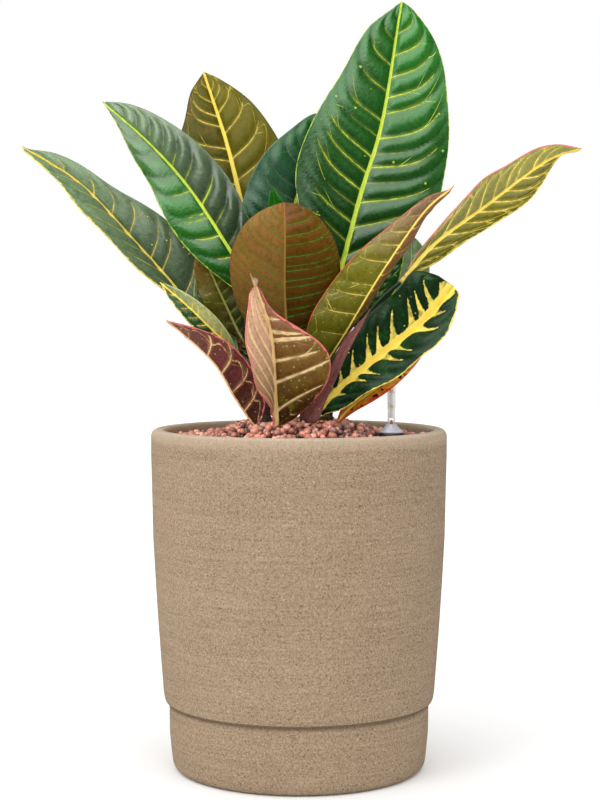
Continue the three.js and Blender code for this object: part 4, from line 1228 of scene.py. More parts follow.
def leaf_markings():
    """Midrib, side veins with branches and loops, net, margin, speckles and shade, from stored values."""
    colours = (
        "Midrib", "Vein", "Net", "Left Margin", "Right Margin", "Speckle", "Shade", "Underside", "Petiole",
    )
    values = (
        "Midrib Width", "Midrib Tip Width", "Vein Width", "Vein Reach", "Vein Taper", "Vein Strength",
        "Halo", "Fork Strength", "Loop Strength", "Loop Place", "Net Strength", "Net Size", "Margin Width",
        "Speckle Amount", "Speckle Spacing", "Shade Amount", "Underside Amount", "Raggedness", "Blend",
        "Quilt Light", "Roughness", "Seed",
    )
    inputs = [(label, "colour", (0.5, 0.5, 0.5)) for label in colours]
    inputs += [(label, "value", 0.5) for label in values]
    outputs = [("Color", "colour"), ("Roughness", "value"), ("Height", "value")]
    recipe, entry, out = new_group("Leaf markings", inputs, outputs)
    m = recipe.math
    along_mm, across_mm, share = recipe.split(recipe.attribute("leaf_place"))
    to_margin, x, underside = recipe.split(recipe.attribute("leaf_edge"))
    phase, vein_mm, strength = recipe.split(recipe.attribute("leaf_vein"))
    spacing = recipe.split(recipe.attribute("leaf_spacing"))[0]
    tint = recipe.attribute("blade_tint", "Color")
    half = plus(m("SIGN", across_mm), entry["Seed"])
    place = recipe.join(along_mm, across_mm, times(entry["Seed"], 37.0))
    coarse = minus(recipe.noise(place, 0.09, 2.0), 0.5)
    medium = minus(recipe.noise(place, 0.28, 2.0), 0.5)
    fine = minus(recipe.noise(place, 0.8, 3.0), 0.5)
    waver = plus(coarse, medium)
    wobble = times(plus(waver, fine), times(entry["Raggedness"], 1.6))

    # Midrib and side veins
    from_midrib = m("ABSOLUTE", across_mm)
    width = times(entry["Midrib Width"], minus(1.0, share))
    width = plus(width, times(entry["Midrib Tip Width"], share))
    past_midrib = minus(from_midrib, times(width, 0.5))
    midrib_distance = plus(past_midrib, times(wobble, 0.7))
    nearest = m("ROUND", phase)
    aside = m("ABSOLUTE", minus(phase, nearest))
    from_vein = m("MAXIMUM", m("ABSOLUTE", vein_mm), times(times(aside, spacing), 0.55))
    from_vein = plus(from_vein, times(recipe.ramp(aside, 0.3, 0.42), 20.0))
    reach = times(entry["Vein Reach"], plus(0.5, times(strength, 0.6)))
    left_over = m("MAXIMUM", minus(1.0, m("DIVIDE", x, reach)), 0.0)
    half_vein = times(entry["Vein Width"], plus(0.3, times(strength, 0.25)))
    half_vein = times(half_vein, m("POWER", left_over, entry["Vein Taper"]))
    gone = times(recipe.ramp(left_over, 0.12, 0.0), 3.0)
    vein_distance = plus(plus(minus(from_vein, half_vein), wobble), gone)
    union = m("SMOOTH_MIN", midrib_distance, vein_distance, entry["Blend"])
    patches = recipe.noise(recipe.join(along_mm, across_mm, half), 0.11, 1.0)
    patchy = recipe.ramp(patches, 0.3, 0.6, 0.45, 1.0)
    vein_level = times(entry["Vein Strength"], patchy)
    vein_level = times(vein_level, recipe.ramp(strength, 0.0, 0.75))
    soft = 0.35
    midrib_mask = recipe.ramp(midrib_distance, soft, -soft)
    far_level = m("MAXIMUM", vein_level, recipe.ramp(from_vein, 2.0, 6.0))
    vein_mask = times(recipe.ramp(union, soft, -soft), far_level)
    halo_mask = times(recipe.ramp(from_vein, 3.6, 0.0), times(vein_level, entry["Halo"]))
    halo_mask = times(halo_mask, recipe.ramp(left_over, 0.0, 0.4))

    # Branches between two side veins
    below = m("FLOOR", phase)
    step = minus(phase, below)
    draws = []
    for shift in (0.0, 0.5):
        luck = recipe.add("ShaderNodeTexWhiteNoise", {"Vector": recipe.join(below, half, shift)})
        draws.append(luck.outputs["Color"])
    forwards = branch_mask(recipe, step, x, draws[0], spacing, wobble)
    backwards = branch_mask(recipe, minus(1.0, step), x, draws[1], spacing, wobble)
    fork_mask = times(m("MAXIMUM", forwards, backwards), entry["Fork Strength"])

    # Arches that join the side veins near the margin
    bow = times(m("COSINE", times(phase, 2 * math.pi)), 0.09)
    loop_x = plus(minus(entry["Loop Place"], bow), times(coarse, 0.16))
    half_width = plus(to_margin, from_midrib)
    loop_distance = minus(times(m("ABSOLUTE", minus(x, loop_x)), half_width), 0.3)
    loop_mask = recipe.ramp(plus(loop_distance, wobble), 0.4, -0.25)
    loop_mask = times(times(loop_mask, entry["Loop Strength"]), patchy)

    # Net of the finest veins
    cells = recipe.cells(place, m("DIVIDE", 1.0, entry["Net Size"]), "DISTANCE_TO_EDGE")
    net_width = plus(0.05, times(fine, 0.06))
    net_mask = times(recipe.ramp(cells["Distance"], net_width, 0.01), entry["Net Strength"])
    net_mask = times(net_mask, patchy)

    # Speckles
    dots = recipe.cells(place, m("DIVIDE", 1.0, entry["Speckle Spacing"]), "F1")
    chosen = recipe.split(dots["Color"])[0]
    dot_size = times(times(minus(chosen, 0.45), 0.4), entry["Speckle Amount"])
    from_dot = plus(dots["Distance"], times(fine, 0.1))
    speckle_mask = recipe.ramp(minus(from_dot, dot_size), 0.06, -0.06)
    speckle_mask = times(speckle_mask, m("GREATER_THAN", entry["Speckle Amount"], 0.01))

    # Margin and shade
    margin_width = times(entry["Margin Width"], plus(1.0, times(waver, 3.0)))
    margin_mask = recipe.ramp(minus(to_margin, margin_width), 0.35, -0.35)
    margin_mask = times(margin_mask, times(patchy, 0.9))
    on_right = m("GREATER_THAN", across_mm, 0.0)
    margin_colour = recipe.mix(on_right, entry["Left Margin"], entry["Right Margin"])
    patch = plus(coarse, times(medium, 0.5))
    shade_mask = times(recipe.ramp(patch, 0.0, 0.3), entry["Shade Amount"])

    # Colour from below to above, gloss and relief
    # Painted light on the quilting: the blade is painted lighter on the swells between the side veins and
    # darker beside them.
    swell = m("POWER", m("ABSOLUTE", m("SINE", times(phase, math.pi))), 0.6)
    depth = plus(1.0, times(minus(swell, 0.8), entry["Quilt Light"]))
    field = times(minus(recipe.split(draws[0])[0], 0.5), 0.16)
    freckle = plus(times(waver, 0.7), times(fine, 0.5))
    lightness = times(depth, plus(plus(1.0, field), freckle))
    colour_value = recipe.dimmed(tint, lightness)
    colour_value = recipe.mix(shade_mask, colour_value, entry["Shade"])
    colour_value = recipe.mix(speckle_mask, colour_value, entry["Speckle"])
    colour_value = recipe.mix(net_mask, colour_value, entry["Net"])
    side_mask = m("MAXIMUM", halo_mask, m("MAXIMUM", fork_mask, loop_mask))
    colour_value = recipe.mix(side_mask, colour_value, entry["Vein"])
    colour_value = recipe.mix(vein_mask, colour_value, entry["Vein"])
    colour_value = recipe.mix(midrib_mask, colour_value, entry["Midrib"])
    colour_value = recipe.mix(margin_mask, colour_value, margin_colour)
    colour_value = recipe.mix(recipe.ramp(along_mm, 1.0, -4.0), colour_value, entry["Petiole"])
    behind = times(underside, entry["Underside Amount"])
    recipe.put(out.inputs["Color"], recipe.mix(behind, colour_value, entry["Underside"]))
    rough = plus(entry["Roughness"], times(plus(fine, medium), 0.3))
    rough = plus(rough, times(midrib_mask, 0.12))
    recipe.put(out.inputs["Roughness"], plus(rough, times(underside, 0.2)))
    relief = plus(times(medium, 0.6), times(fine, 0.35))
    furrow = times(m("MAXIMUM", vein_mask, fork_mask), 0.7)
    recipe.put(out.inputs["Height"], minus(relief, furrow))
    return recipe.tree


def leaf_material(name, plant, paint, seed):
    """Waxy leaf: the shared markings with this leaf's colours and widths."""
    material, recipe, shader = new_material("Leaf " + name, IOR=1.45, Specular_IOR_Level=paint.sheen)
    tree = bpy.data.node_groups.get("Leaf markings") or leaf_markings()
    values = {
        "Left Margin": tone(plant, paint.margin[0]), "Right Margin": tone(plant, paint.margin[1]),
        "Margin Width": paint.margin[2], "Petiole": tone(plant, paint.petiole), "Vein Taper": paint.taper,
        "Halo": paint.halo, "Fork Strength": paint.fork, "Loop Strength": paint.loop[0],
        "Loop Place": paint.loop[1], "Raggedness": paint.ragged, "Blend": paint.blend, "Quilt Light": paint.quilt_light,
        "Roughness": plant.gloss + paint.roughness, "Seed": seed,
    }
    for label, entry, measures in (
        ("Midrib", paint.midrib, ("Width", "Tip Width")),
        ("Vein", paint.vein, ("Width", "Reach", "Strength")),
        ("Net", paint.net, ("Strength", "Size")),
        ("Speckle", paint.speckle, ("Amount", "Spacing")),
        ("Shade", paint.shade, ("Amount",)),
        ("Underside", paint.underside, ("Amount",)),
    ):
        values[label] = tone(plant, entry[0])
        values.update((f"{label} {measure}", value) for measure, value in zip(measures, entry[1:]))
    out = recipe.group(tree, values)
    finish_surface(recipe, shader, out["Color"], out["Roughness"], out["Height"], 0.0005)
    return material


# Planter, bed and stems

PROFILE_RADIUS = 140
PROFILE_HEIGHT = 323
PLANTER_PROFILE = [
    (0, 0), (112, 0), (117.4, 1.6), (120.2, 6), (121.6, 18), (123.2, 34), (123.6, 63.4), (127.2, 65),
    (128.8, 72), (131, 101), (133.7, 139), (136.2, 180), (138.3, 220), (139.2, 265), (140, 300), (140, 319),
    (136.5, 323), (129, 323), (126.5, 320), (113, 70), (108, 14), (0, 14),
]
PLANTER_CORNER = 3.0
PLANTER_ROW_STEP = 4.0
# Painted light covers the rim's top over the first height; the wall is lighter below it over the second.
RIM_LIGHT_HEIGHT = 0.003
LIGHTENED_HEIGHT = 0.016
STEP_SHADOW = (0.0585, 0.064, 0.0662)
STREAK_SCALE = (14, 14, 420)
BED_EDGE_HEIGHT = 314
BED_RADIUS = 125.6
SOIL_DEPTH = 4.5
SOIL_WALL = [(0, 15), (107, 15), (112.6, 71)]
PEBBLE_GRID_RADIUS = 130
PEBBLE_WALL_RADIUS = 126.2
PEBBLE_SIZES = (0.78, 1.24)
PEBBLE_SQUASH = (0.8, 1.1)
PEBBLE_FLATNESS = np.array([1, 1, 0.92])
PEBBLE_JITTER = 0.2
PEBBLE_UNEVENNESS = 0.9
PEBBLE_LAYERS = ((4.6, 1.0), (0.0, 0.66))
LUMP_HEIGHT = 0.05
LUMP_WAVES = 3
# Painted shade between the pebbles: full at this depth below the bed's surface, fading out over this span
# above it.
GAP_SHADE_DEPTH = 4.2
GAP_SHADE_SPAN = 6.0
MOUND_HEIGHT = 14
MOUND_TOP_RADIUS = 44
MOUND_SLOPE_WIDTH = 52
DISH_DEPTH = 3.0
DISH_RADIUS = 26
GAUGE_CENTRE = (87, -15)
COLLAR_CLEARANCE = 12.6
STEM_CLEARANCE = 1
SCAR_SPACING = 11
SCAR_HEIGHT = 0.55
SCAR_WIDTH = 1.5
CRACK_SCALE = (420, 420, 70)
SCAR_SCALE = (30, 30, 480)


def planter_material(planter):
    """Cast stone with a sandy face: raised pale grains, pits darkened with painted shade and faint level
    streaks; lighter towards the top, with painted light on the rim's top and a painted shadow under the
    step.
    """
    material, recipe, shader = new_material("Planter sand", Specular_IOR_Level=0.3)
    m = recipe.math
    place = recipe.place()
    scale = 1 / planter.grain_size
    grains = recipe.noise(place, scale, 3.0, 0.7)
    fine = recipe.noise(place, scale * 2.1, 2.0, 0.7)
    worms = recipe.noise(place, scale * 0.6, 3.0, 0.6, 0.4)
    streaks = recipe.noise(recipe.stretch(place, STREAK_SCALE), 1.0, 3.0, 0.6)
    clouds = recipe.noise(place, 14.0, 3.0)
    height = plus(times(grains, 0.5), times(worms, 0.2))
    height = plus(height, times(fine, 0.42))
    height = plus(height, times(minus(streaks, 0.5), 0.1))
    # Painted shade: the pits, where the grains' relief is low, take the darker sand colour.
    pits = recipe.ramp(height, 0.56, 0.4)
    peaks = recipe.ramp(height, 0.56, 0.74)
    base = recipe.mix(times(pits, 0.95), planter.sand, planter.shaded_sand)
    base = recipe.mix(times(peaks, 0.75), base, planter.pale_sand)
    level = plus(0.86, times(plus(times(streaks, 0.6), clouds), 0.18))
    base = recipe.dimmed(base, level)
    z = recipe.split(place)[2]
    # Lighter towards the top of the wall.
    lightened = recipe.ramp(z, planter.height - LIGHTENED_HEIGHT, planter.height - RIM_LIGHT_HEIGHT)
    base = recipe.mix(times(lightened, 0.4), base, planter.pale_sand)
    # Painted light along the rim's top.
    rim_light = recipe.ramp(z, planter.height - RIM_LIGHT_HEIGHT, planter.height - RIM_LIGHT_HEIGHT / 3)
    rim_light = times(rim_light, plus(0.25, times(peaks, 0.5)))
    base = recipe.mix(rim_light, base, planter.rim_light_sand)
    # Painted shadow of the step on the foot below it.
    shadow_start, shadow_full, shadow_end = STEP_SHADOW
    step_shadow_mask = times(recipe.ramp(z, shadow_start, shadow_full), m("LESS_THAN", z, shadow_end))
    base = recipe.mix(times(step_shadow_mask, 0.6), base, planter.shaded_sand)
    rough = plus(0.82, times(grains, 0.15))
    finish_surface(recipe, shader, base, rough, height, planter.grain_depth * 2.4)
    return material


def make_planter(planter):
    """A turned shell. The outline through the profile's points is rounded at its corners and cut finely."""
    profile = np.array(PLANTER_PROFILE, float)
    profile[:, 0] *= planter.rim_radius / MM / PROFILE_RADIUS
    profile[:, 1] *= planter.height / MM / PROFILE_HEIGHT
    outline = refined(rounded(profile, PLANTER_CORNER), PLANTER_ROW_STEP)
    vertices, faces = turned_surface(outline, planter.sides)
    finish = planter_material(planter)
    return mesh_object("planter_shell", vertices, faces, finish, "pot", ["planter"])


def bed_height(radius):
    """Height of the pebble surface: level at the wall, with an eased mound round the stems."""
    down = smooth_step((radius - MOUND_TOP_RADIUS) / MOUND_SLOPE_WIDTH)
    return BED_EDGE_HEIGHT + MOUND_HEIGHT * (1 - down)


def pebble_places(bed, random):
    """Centres and sizes of the pebbles: two jittered layers of a triangular grid inside the wall."""
    pitch = bed.pitch / MM
    layers = []
    columns = int(PEBBLE_GRID_RADIUS / pitch) + 1
    rows = columns + 12
    for drop, share in PEBBLE_LAYERS:
        column, row = np.mgrid[-columns:columns + 1, -rows:rows + 1]
        x = (column + 0.5 * (row % 2)) * pitch
        y = row * pitch * math.sqrt(3) / 2
        points = np.stack([x.ravel(), y.ravel()], -1)
        points = points + random.uniform(-PEBBLE_JITTER, PEBBLE_JITTER, points.shape) * pitch
        size = bed.pebble_size / MM * random.uniform(*PEBBLE_SIZES, len(points))
        radius = np.hypot(*points.T)
        keep = (radius + size / 2 < PEBBLE_WALL_RADIUS) & (random.random(len(points)) < share)
        from_gauge = np.hypot(*(points - GAUGE_CENTRE).T)
        keep &= from_gauge - size / 2 > COLLAR_CLEARANCE
        for stem, (foot_radius, _) in STEM_RADII.items():
            from_stem = np.hypot(*(points - stem_point(stem, BED_EDGE_HEIGHT + 4)[:2]).T)
            keep &= from_stem > foot_radius + STEM_CLEARANCE
        dish = DISH_DEPTH * (1 - smooth_step((from_gauge - COLLAR_CLEARANCE) / DISH_RADIUS))
        uneven = random.uniform(-PEBBLE_UNEVENNESS, PEBBLE_UNEVENNESS, len(points))
        height = bed_height(radius) - dish - drop + uneven
        layers.append(np.column_stack([points, height, size])[keep])
    return np.vstack(layers)


def make_pebbles(bed):
    """Lumpy pebbles: a round of eight meridians and four rings, swollen by three waves drawn for each."""
    random = np.random.default_rng(bed.seed)
    places = pebble_places(bed, random)
    count = len(places)
    rings, around = 4, 8
    polar = np.pi * (np.arange(rings) + 1) / (rings + 1)
    turn = 2 * np.pi * np.arange(around) / around
    grid = np.stack([
        np.outer(np.sin(polar), np.cos(turn)), np.outer(np.sin(polar), np.sin(turn)),
        np.outer(-np.cos(polar), np.ones(around)),
    ], -1).reshape(-1, 3)
    ball = np.vstack([grid, [[0, 0, -1], [0, 0, 1]]])
    heading = unit(random.normal(size=(count, 3, 3)))
    waves = np.einsum("nwk,vk->nvw", heading, ball)
    phases = random.uniform(0, 6, (count, 1, 3))
    swell = 1 + LUMP_HEIGHT * np.sin(waves * LUMP_WAVES + phases).sum(-1)
    squash = random.uniform(*PEBBLE_SQUASH, (count, 1, 3)) * PEBBLE_FLATNESS
    axis = unit(random.normal(size=(count, 3)))
    first = unit(np.cross(axis, [0.3, 0.5, 0.8]))
    second = np.cross(axis, first)
    shaped = ball[None] * swell[..., None] * squash
    turned = shaped @ np.stack([first, second, axis], 1)
    vertices = turned * (places[:, 3:] / 2)[:, None] + places[:, None, :3]
    pattern = tube_faces(rings, around)
    corners = len(ball)
    faces = [[corner + corners * pebble for corner in face] for pebble in range(count) for face in pattern]
    flat, finish = vertices.reshape(-1, 3), pebble_material(bed)
    piece = mesh_object("clay_pebbles", flat, faces, finish, "pot", ["substrate"])
    draw = np.repeat(random.random((count, 3)), corners, axis=0)
    set_vectors(piece.data, "pebble_draw", draw)
    # Painted shade: each vertex keeps how far it stands out of the bed, so pebbles deeper between the
    # others are darkened.
    surface = bed_height(np.hypot(vertices[..., 0], vertices[..., 1]))
    painted_gap_light = smooth_step((vertices[..., 2] - surface + GAP_SHADE_DEPTH) / GAP_SHADE_SPAN).ravel()
    set_vectors(piece.data, "pebble_gap_light", np.repeat(painted_gap_light[:, None], 3, axis=1))
    return piece


def pebble_material(bed):
    """Baked clay: a colour drawn for each pebble, dusty patches, small pores with painted shade in them,
    and painted shade on pebbles that lie deeper between the others.
    """
    material, recipe, shader = new_material("Clay pebbles", Specular_IOR_Level=0.5)
    hue, light, dust = recipe.split(recipe.attribute("pebble_draw"))
    place = recipe.place()
    base = recipe.mix(recipe.ramp(hue, 0.62, 1.0), bed.clay, bed.pale_clay)
    base = recipe.mix(recipe.ramp(hue, 0.3, 0.08), base, bed.dark_clay)
    patches = recipe.noise(place, 420.0, 3.0)
    dusty = times(recipe.ramp(patches, 0.5, 0.75), times(dust, 0.5))
    base = recipe.mix(dusty, base, bed.pale_clay)
    # Pores: small hollows in the relief, filled with the near-black soil colour as painted shade.
    pore_with_shade = recipe.ramp(recipe.cells(place, 330.0, "F1")["Distance"], 0.22, 0.12)
    base = recipe.mix(times(pore_with_shade, 0.75), base, bed.soil_and_shade)
    # Painted shade: pebbles are darker the deeper they lie between the others.
    painted_gap_light = recipe.split(recipe.attribute("pebble_gap_light"))[0]
    level = plus(0.55, times(light, 0.75))
    level = times(level, plus(0.12, times(painted_gap_light, 0.98)))
    base = recipe.dimmed(base, level)
    height = minus(times(recipe.noise(place, 1500.0, 2.0), 0.5), pore_with_shade)
    rough = plus(0.24, times(patches, 0.3))
    finish_surface(recipe, shader, base, rough, height, 0.0005)
    return material


def make_bed(bed):
    """The mix under the pebbles: a turned block with a low mound, its surface stirred by two waves."""
    radii = np.concatenate([[0.0], np.linspace(4, BED_RADIUS, 46)])
    top = np.column_stack([radii, bed_height(radii) - SOIL_DEPTH])[::-1]
    wall = refined([*SOIL_WALL, (BED_RADIUS, top[0, 1])], 12.0)[:-1]
    profile = np.vstack([wall, top])

    def stir(angle, body):
        return 0.25 * np.sin(7 * angle + body[:, :1] * 0.35) * (body[:, 1:] > 300)

    vertices, faces = turned_surface(profile, 128, ripple=stir)
    # The soil colour is partly painted shade of the gaps between the pebbles.
    finish = plain_finish("Soil mix", bed.soil_and_shade, bed.dark_clay, 0.95, 300.0, 0.7, 0.0006)
    return mesh_object("soil_under_pebbles", vertices, faces, finish, "pot", ["substrate"])


def make_stem(stem, plant):
    """A tapered round stem. Its radius swells at the leaf scars and wavers with the bark."""
    foot, tip = (np.array(end, float) for end in STEMS[stem])
    start, end = STEM_RADII[stem]
    rows, around = 110, 28
    share = np.linspace(0, 1, rows)
    height = foot[2] + (tip[2] - foot[2]) * share
    angle = np.arange(around) * 2 * np.pi / around
    rounds = (height - foot[2]) / SCAR_SPACING
    scar = SCAR_HEIGHT * np.exp(-(((rounds - np.round(rounds)) * SCAR_SPACING / SCAR_WIDTH) ** 2))
    bark = 0.12 * np.sin(5 * angle + 0.9 * np.sin(height[:, None] / 6))
    bark = bark + 0.08 * np.sin(9 * angle - height[:, None] / 4)
    radius = (start + (end - start) * share + scar)[:, None] + bark - 0.2
    close = np.sqrt(np.clip((tip[2] - height) / 3, 0, 1))
    radius = radius * (0.25 + 0.75 * close)[:, None]
    centre = foot + (tip - foot) * share[:, None]
    ring = np.stack([
        centre[:, :1] + radius * np.cos(angle), centre[:, 1:2] + radius * np.sin(angle),
        height[:, None] + np.zeros_like(radius),
    ], -1)
    vertices = np.vstack([ring.reshape(-1, 3), [foot], [tip]])
    finish = bark_material(plant)
    name = f"stem_{stem}"
    return mesh_object(f"woody_{name}", vertices, tube_faces(rows, around), finish, "pot", [name])


def bark_material(plant):
    """Grey-brown bark with upright cracks and pale leaf scars, greener to the top."""
    found = bpy.data.materials.get("Croton bark")
    if found:
        return found
    material, recipe, shader = new_material("Croton bark")
    place = recipe.place()
    cracks = recipe.noise(recipe.stretch(place, CRACK_SCALE), 1.0, 3.0, 0.6)
    scars = recipe.noise(recipe.stretch(place, SCAR_SCALE), 1.0, 2.0)
    z = recipe.split(place)[2]
    base = recipe.mix(recipe.ramp(cracks, 0.4, 0.65), tone(plant, ("bark", 0.55)), tone(plant, "bark"))
    base = recipe.mix(times(recipe.ramp(scars, 0.58, 0.68), 0.6), base, tone(plant, ("bark", 1.5)))
    base = recipe.mix(times(recipe.ramp(z, 0.36, 0.43), 0.7), base, tone(plant, ("olive", 0.8)))
    height = plus(cracks, times(scars, 0.5))
    finish_surface(recipe, shader, base, plus(0.6, times(cracks, 0.3)), height, 0.0006)
    return material


# Water gauge

MARK_HEIGHTS = (344.6, 358.8)
MARK_HALF_HEIGHT = 1.5
WINDOW_HALF_WIDTH = 0.0019
WINDOW_TOP = (0.335, 0.333)
FIRST_MARK_RISE = 10.6
LAST_MARK_DROP = 26.2
MARK_SLACK = 0.002


def gauge_piece(name, profile, material, body, node, corner, sides=64, step=2.0):
    """A turned piece of the gauge, its corners eased."""
    profile = np.asarray(profile, float)
    closed = np.allclose(profile[0], profile[-1])
    outline = rounded(profile, corner, 4)
    if closed:
        outline[-1] = outline[0]
    vertices, faces = turned_surface(refined(outline, step), sides, GAUGE_CENTRE)
    return mesh_object(name, vertices, faces, material, body, [node])


def make_gauge(gauge):
    """Collar, cap, clear tube, plug, scale, float with its rod, and pointer."""
    low_collar, high_collar = box_mm("gauge_collar")
    low_cap, high_cap = box_mm("gauge_cap")
    low_tube, high_tube = box_mm("gauge_tube")
    low_plug, high_plug = box_mm("gauge_plug")
    low_float, high_float = box_mm("gauge_float")
    low_tip, high_tip = box_mm("gauge_pointer")
    collar_radius = (high_collar[0] - low_collar[0]) / 2
    cap_radius = (high_cap[0] - low_cap[0]) / 2
    flange = high_collar[2] - 8.5
    rubber = plain_finish("Gauge collar", gauge.rubber, srgb(70, 72, 78), 0.5)
    metal = plain_finish("Gauge cap", gauge.metal, srgb(196, 197, 208), 0.28, Metallic=0.1)
    clear = tube_material(gauge)
    cork = plain_finish("Gauge plug", srgb(236, 238, 240), srgb(210, 212, 216), 0.35)
    foam = plain_finish("Gauge float", srgb(238, 236, 228), srgb(214, 210, 198), 0.6)
    tip_paint = plain_finish("Gauge pointer", gauge.tip, srgb(170, 24, 22), 0.35)
    gauge_piece("gauge_collar_ring", [
        (2.2, low_collar[2]), (8.2, low_collar[2]), (8.2, flange), (collar_radius, flange),
        (collar_radius, high_collar[2]), (2.2, high_collar[2]), (2.2, low_collar[2]),
    ], rubber, "pot", "gauge_collar", corner=0.6)
    gauge_piece("gauge_cone_cap", [
        (2.2, low_cap[2]), (cap_radius, low_cap[2]), (cap_radius, 321), (7.6, 324.4), (5.6, 326.6),
        (5.2, high_cap[2]), (4.1, high_cap[2]), (4.1, 322), (2.2, 322), (2.2, low_cap[2]),
    ], metal, "pot", "gauge_cap", corner=0.45)
    gauge_piece("gauge_clear_tube", [
        (2.9, low_tube[2]), (3.8, low_tube[2]), (3.8, high_tube[2]), (2.9, high_tube[2]),
        (2.9, low_tube[2]),
    ], clear, "pot", "gauge_tube", corner=0.15, step=6.0)
    gauge_piece("gauge_top_plug", [
        (0, low_plug[2]), (2.6, low_plug[2]), (2.6, high_plug[2] - 2.9), (4.3, high_plug[2] - 2.9),
        (4.3, high_plug[2] - 0.8), (3, high_plug[2]), (0, high_plug[2]),
    ], cork, "pot", "gauge_plug", corner=0.4)
    gauge_piece("gauge_float_and_rod", [
        (0, low_float[2]), (6, low_float[2]), (7, low_float[2] + 1), (7, low_float[2] + 54),
        (6, low_float[2] + 55), (0.8, low_float[2] + 55), (0.8, high_float[2]), (0, high_float[2]),
    ], foam, "float", "gauge_float", sides=40, corner=0.3, step=8.0)
    gauge_piece("gauge_red_tip", [
        (0, low_tip[2]), (1.3, low_tip[2]), (1.3, high_tip[2] - 0.8), (0.6, high_tip[2]), (0, high_tip[2]),
    ], tip_paint, "float", "gauge_pointer", sides=32, corner=0.3)
    make_scale(gauge)
    finish_housing()


def tube_material(gauge):
    """Clear plastic, a little milky, with plain level marks on its front; clearest over the pointer."""
    material, recipe, shader = new_material("Gauge tube", Specular_IOR_Level=0.4)
    m = recipe.math
    place = recipe.place()
    x, y, z = recipe.split(place)
    grain = recipe.noise(place, 700.0, 2.0)
    beside = m("ABSOLUTE", minus(x, GAUGE_CENTRE[0] * MM))
    front = m("LESS_THAN", y, GAUGE_CENTRE[1] * MM)
    front = times(front, recipe.ramp(beside, WINDOW_HALF_WIDTH, 0.0016))
    bars = [
        m("LESS_THAN", m("ABSOLUTE", minus(z, height * MM)), MARK_HALF_HEIGHT * MM)
        for height in MARK_HEIGHTS
    ]
    mark = times(times(front, m("MAXIMUM", *bars)), 0.8)
    paper = recipe.mix(times(grain, 0.2), gauge.milky, srgb(226, 228, 230))
    below_top = recipe.ramp(z, *WINDOW_TOP)
    window = times(m("LESS_THAN", beside, WINDOW_HALF_WIDTH), below_top)
    milky = minus(0.38, times(window, 0.3))
    recipe.put(shader.inputs["Alpha"], m("MAXIMUM", milky, mark))
    base = recipe.mix(mark, paper, gauge.marks)
    finish_surface(recipe, shader, base, plus(0.2, times(grain, 0.1)), grain, 0.000002)
    return material


def make_scale(gauge):
    """The level strip: a thin slab with cut corners and plain marks at even steps."""
    low, high = box_mm("gauge_scale")
    vertices, faces = slab(low, high, 0.1)
    material, recipe, shader = new_material("Gauge scale")
    m = recipe.math
    place = recipe.place()
    z = recipe.split(place)[2]
    first, last = (low[2] + FIRST_MARK_RISE) * MM, (high[2] - LAST_MARK_DROP) * MM
    step = (last - first) / (gauge.tick_count - 2)
    cycle = m("DIVIDE", minus(z, first), step)
    near = times(m("ABSOLUTE", minus(cycle, m("ROUND", cycle))), step)
    mark = recipe.ramp(near, 0.0012, 0.0009)
    above_first = m("GREATER_THAN", z, first - MARK_SLACK)
    inside = times(above_first, m("LESS_THAN", z, last + step + MARK_SLACK))
    grain = recipe.noise(place, 900.0, 2.0)
    paper = recipe.mix(times(grain, 0.3), gauge.scale_white, srgb(200, 202, 204))
    base = recipe.mix(times(mark, inside), paper, gauge.marks)
    finish_surface(recipe, shader, base, plus(0.35, times(grain, 0.2)), grain, 0.00002)
    node = "gauge_scale"
    return mesh_object("gauge_level_strip", vertices, faces, material, "pot", [node])


def slab(low, high, bevel):
    """Vertices and faces of an upright slab: an outline with cut corners carried up its height."""
    (x0, y0, z0), (x1, y1, z1) = low, high
    outline = [
        (x0 + bevel, y0), (x1 - bevel, y0), (x1, y0 + bevel), (x1, y1 - bevel),
        (x1 - bevel, y1), (x0 + bevel, y1), (x0, y1 - bevel), (x0, y0 + bevel),
    ]
    heights = np.linspace(z0, z1, 12)
    ring = np.array([[(x, y, z) for x, y in outline] for z in heights])
    middle = [(x0 + x1) / 2, (y0 + y1) / 2]
    vertices = np.vstack([ring.reshape(-1, 3), [[*middle, z0]], [[*middle, z1]]])
    return vertices, tube_faces(len(heights), len(outline))


def finish_housing():
    """Gives the nodes that stay hidden in the bed a worked finish."""
    housing = plain_finish("Gauge housing", srgb(60, 62, 66), srgb(40, 42, 46), 0.5)
    roots = plain_finish("Root ball", srgb(92, 70, 50), srgb(52, 38, 26), 0.9, 180.0, 0.8, 0.0008)
    for node, finish in (("gauge_housing", housing), ("root_ball", roots)):
        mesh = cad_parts[node].data
        mesh.materials.clear()
        mesh.materials.append(finish)


# Stage


def area_light(name, place, aim, size, watts):
    """A soft square light at a place, turned towards a point."""
    data = bpy.data.lights.new(name, "AREA")
    data.size, data.energy = size, watts
    light = placed(name, data)
    light.location = place
    light.rotation_mode = "QUATERNION"
    light.rotation_quaternion = (Vector(aim) - Vector(place)).to_track_quat("-Z", "Y")


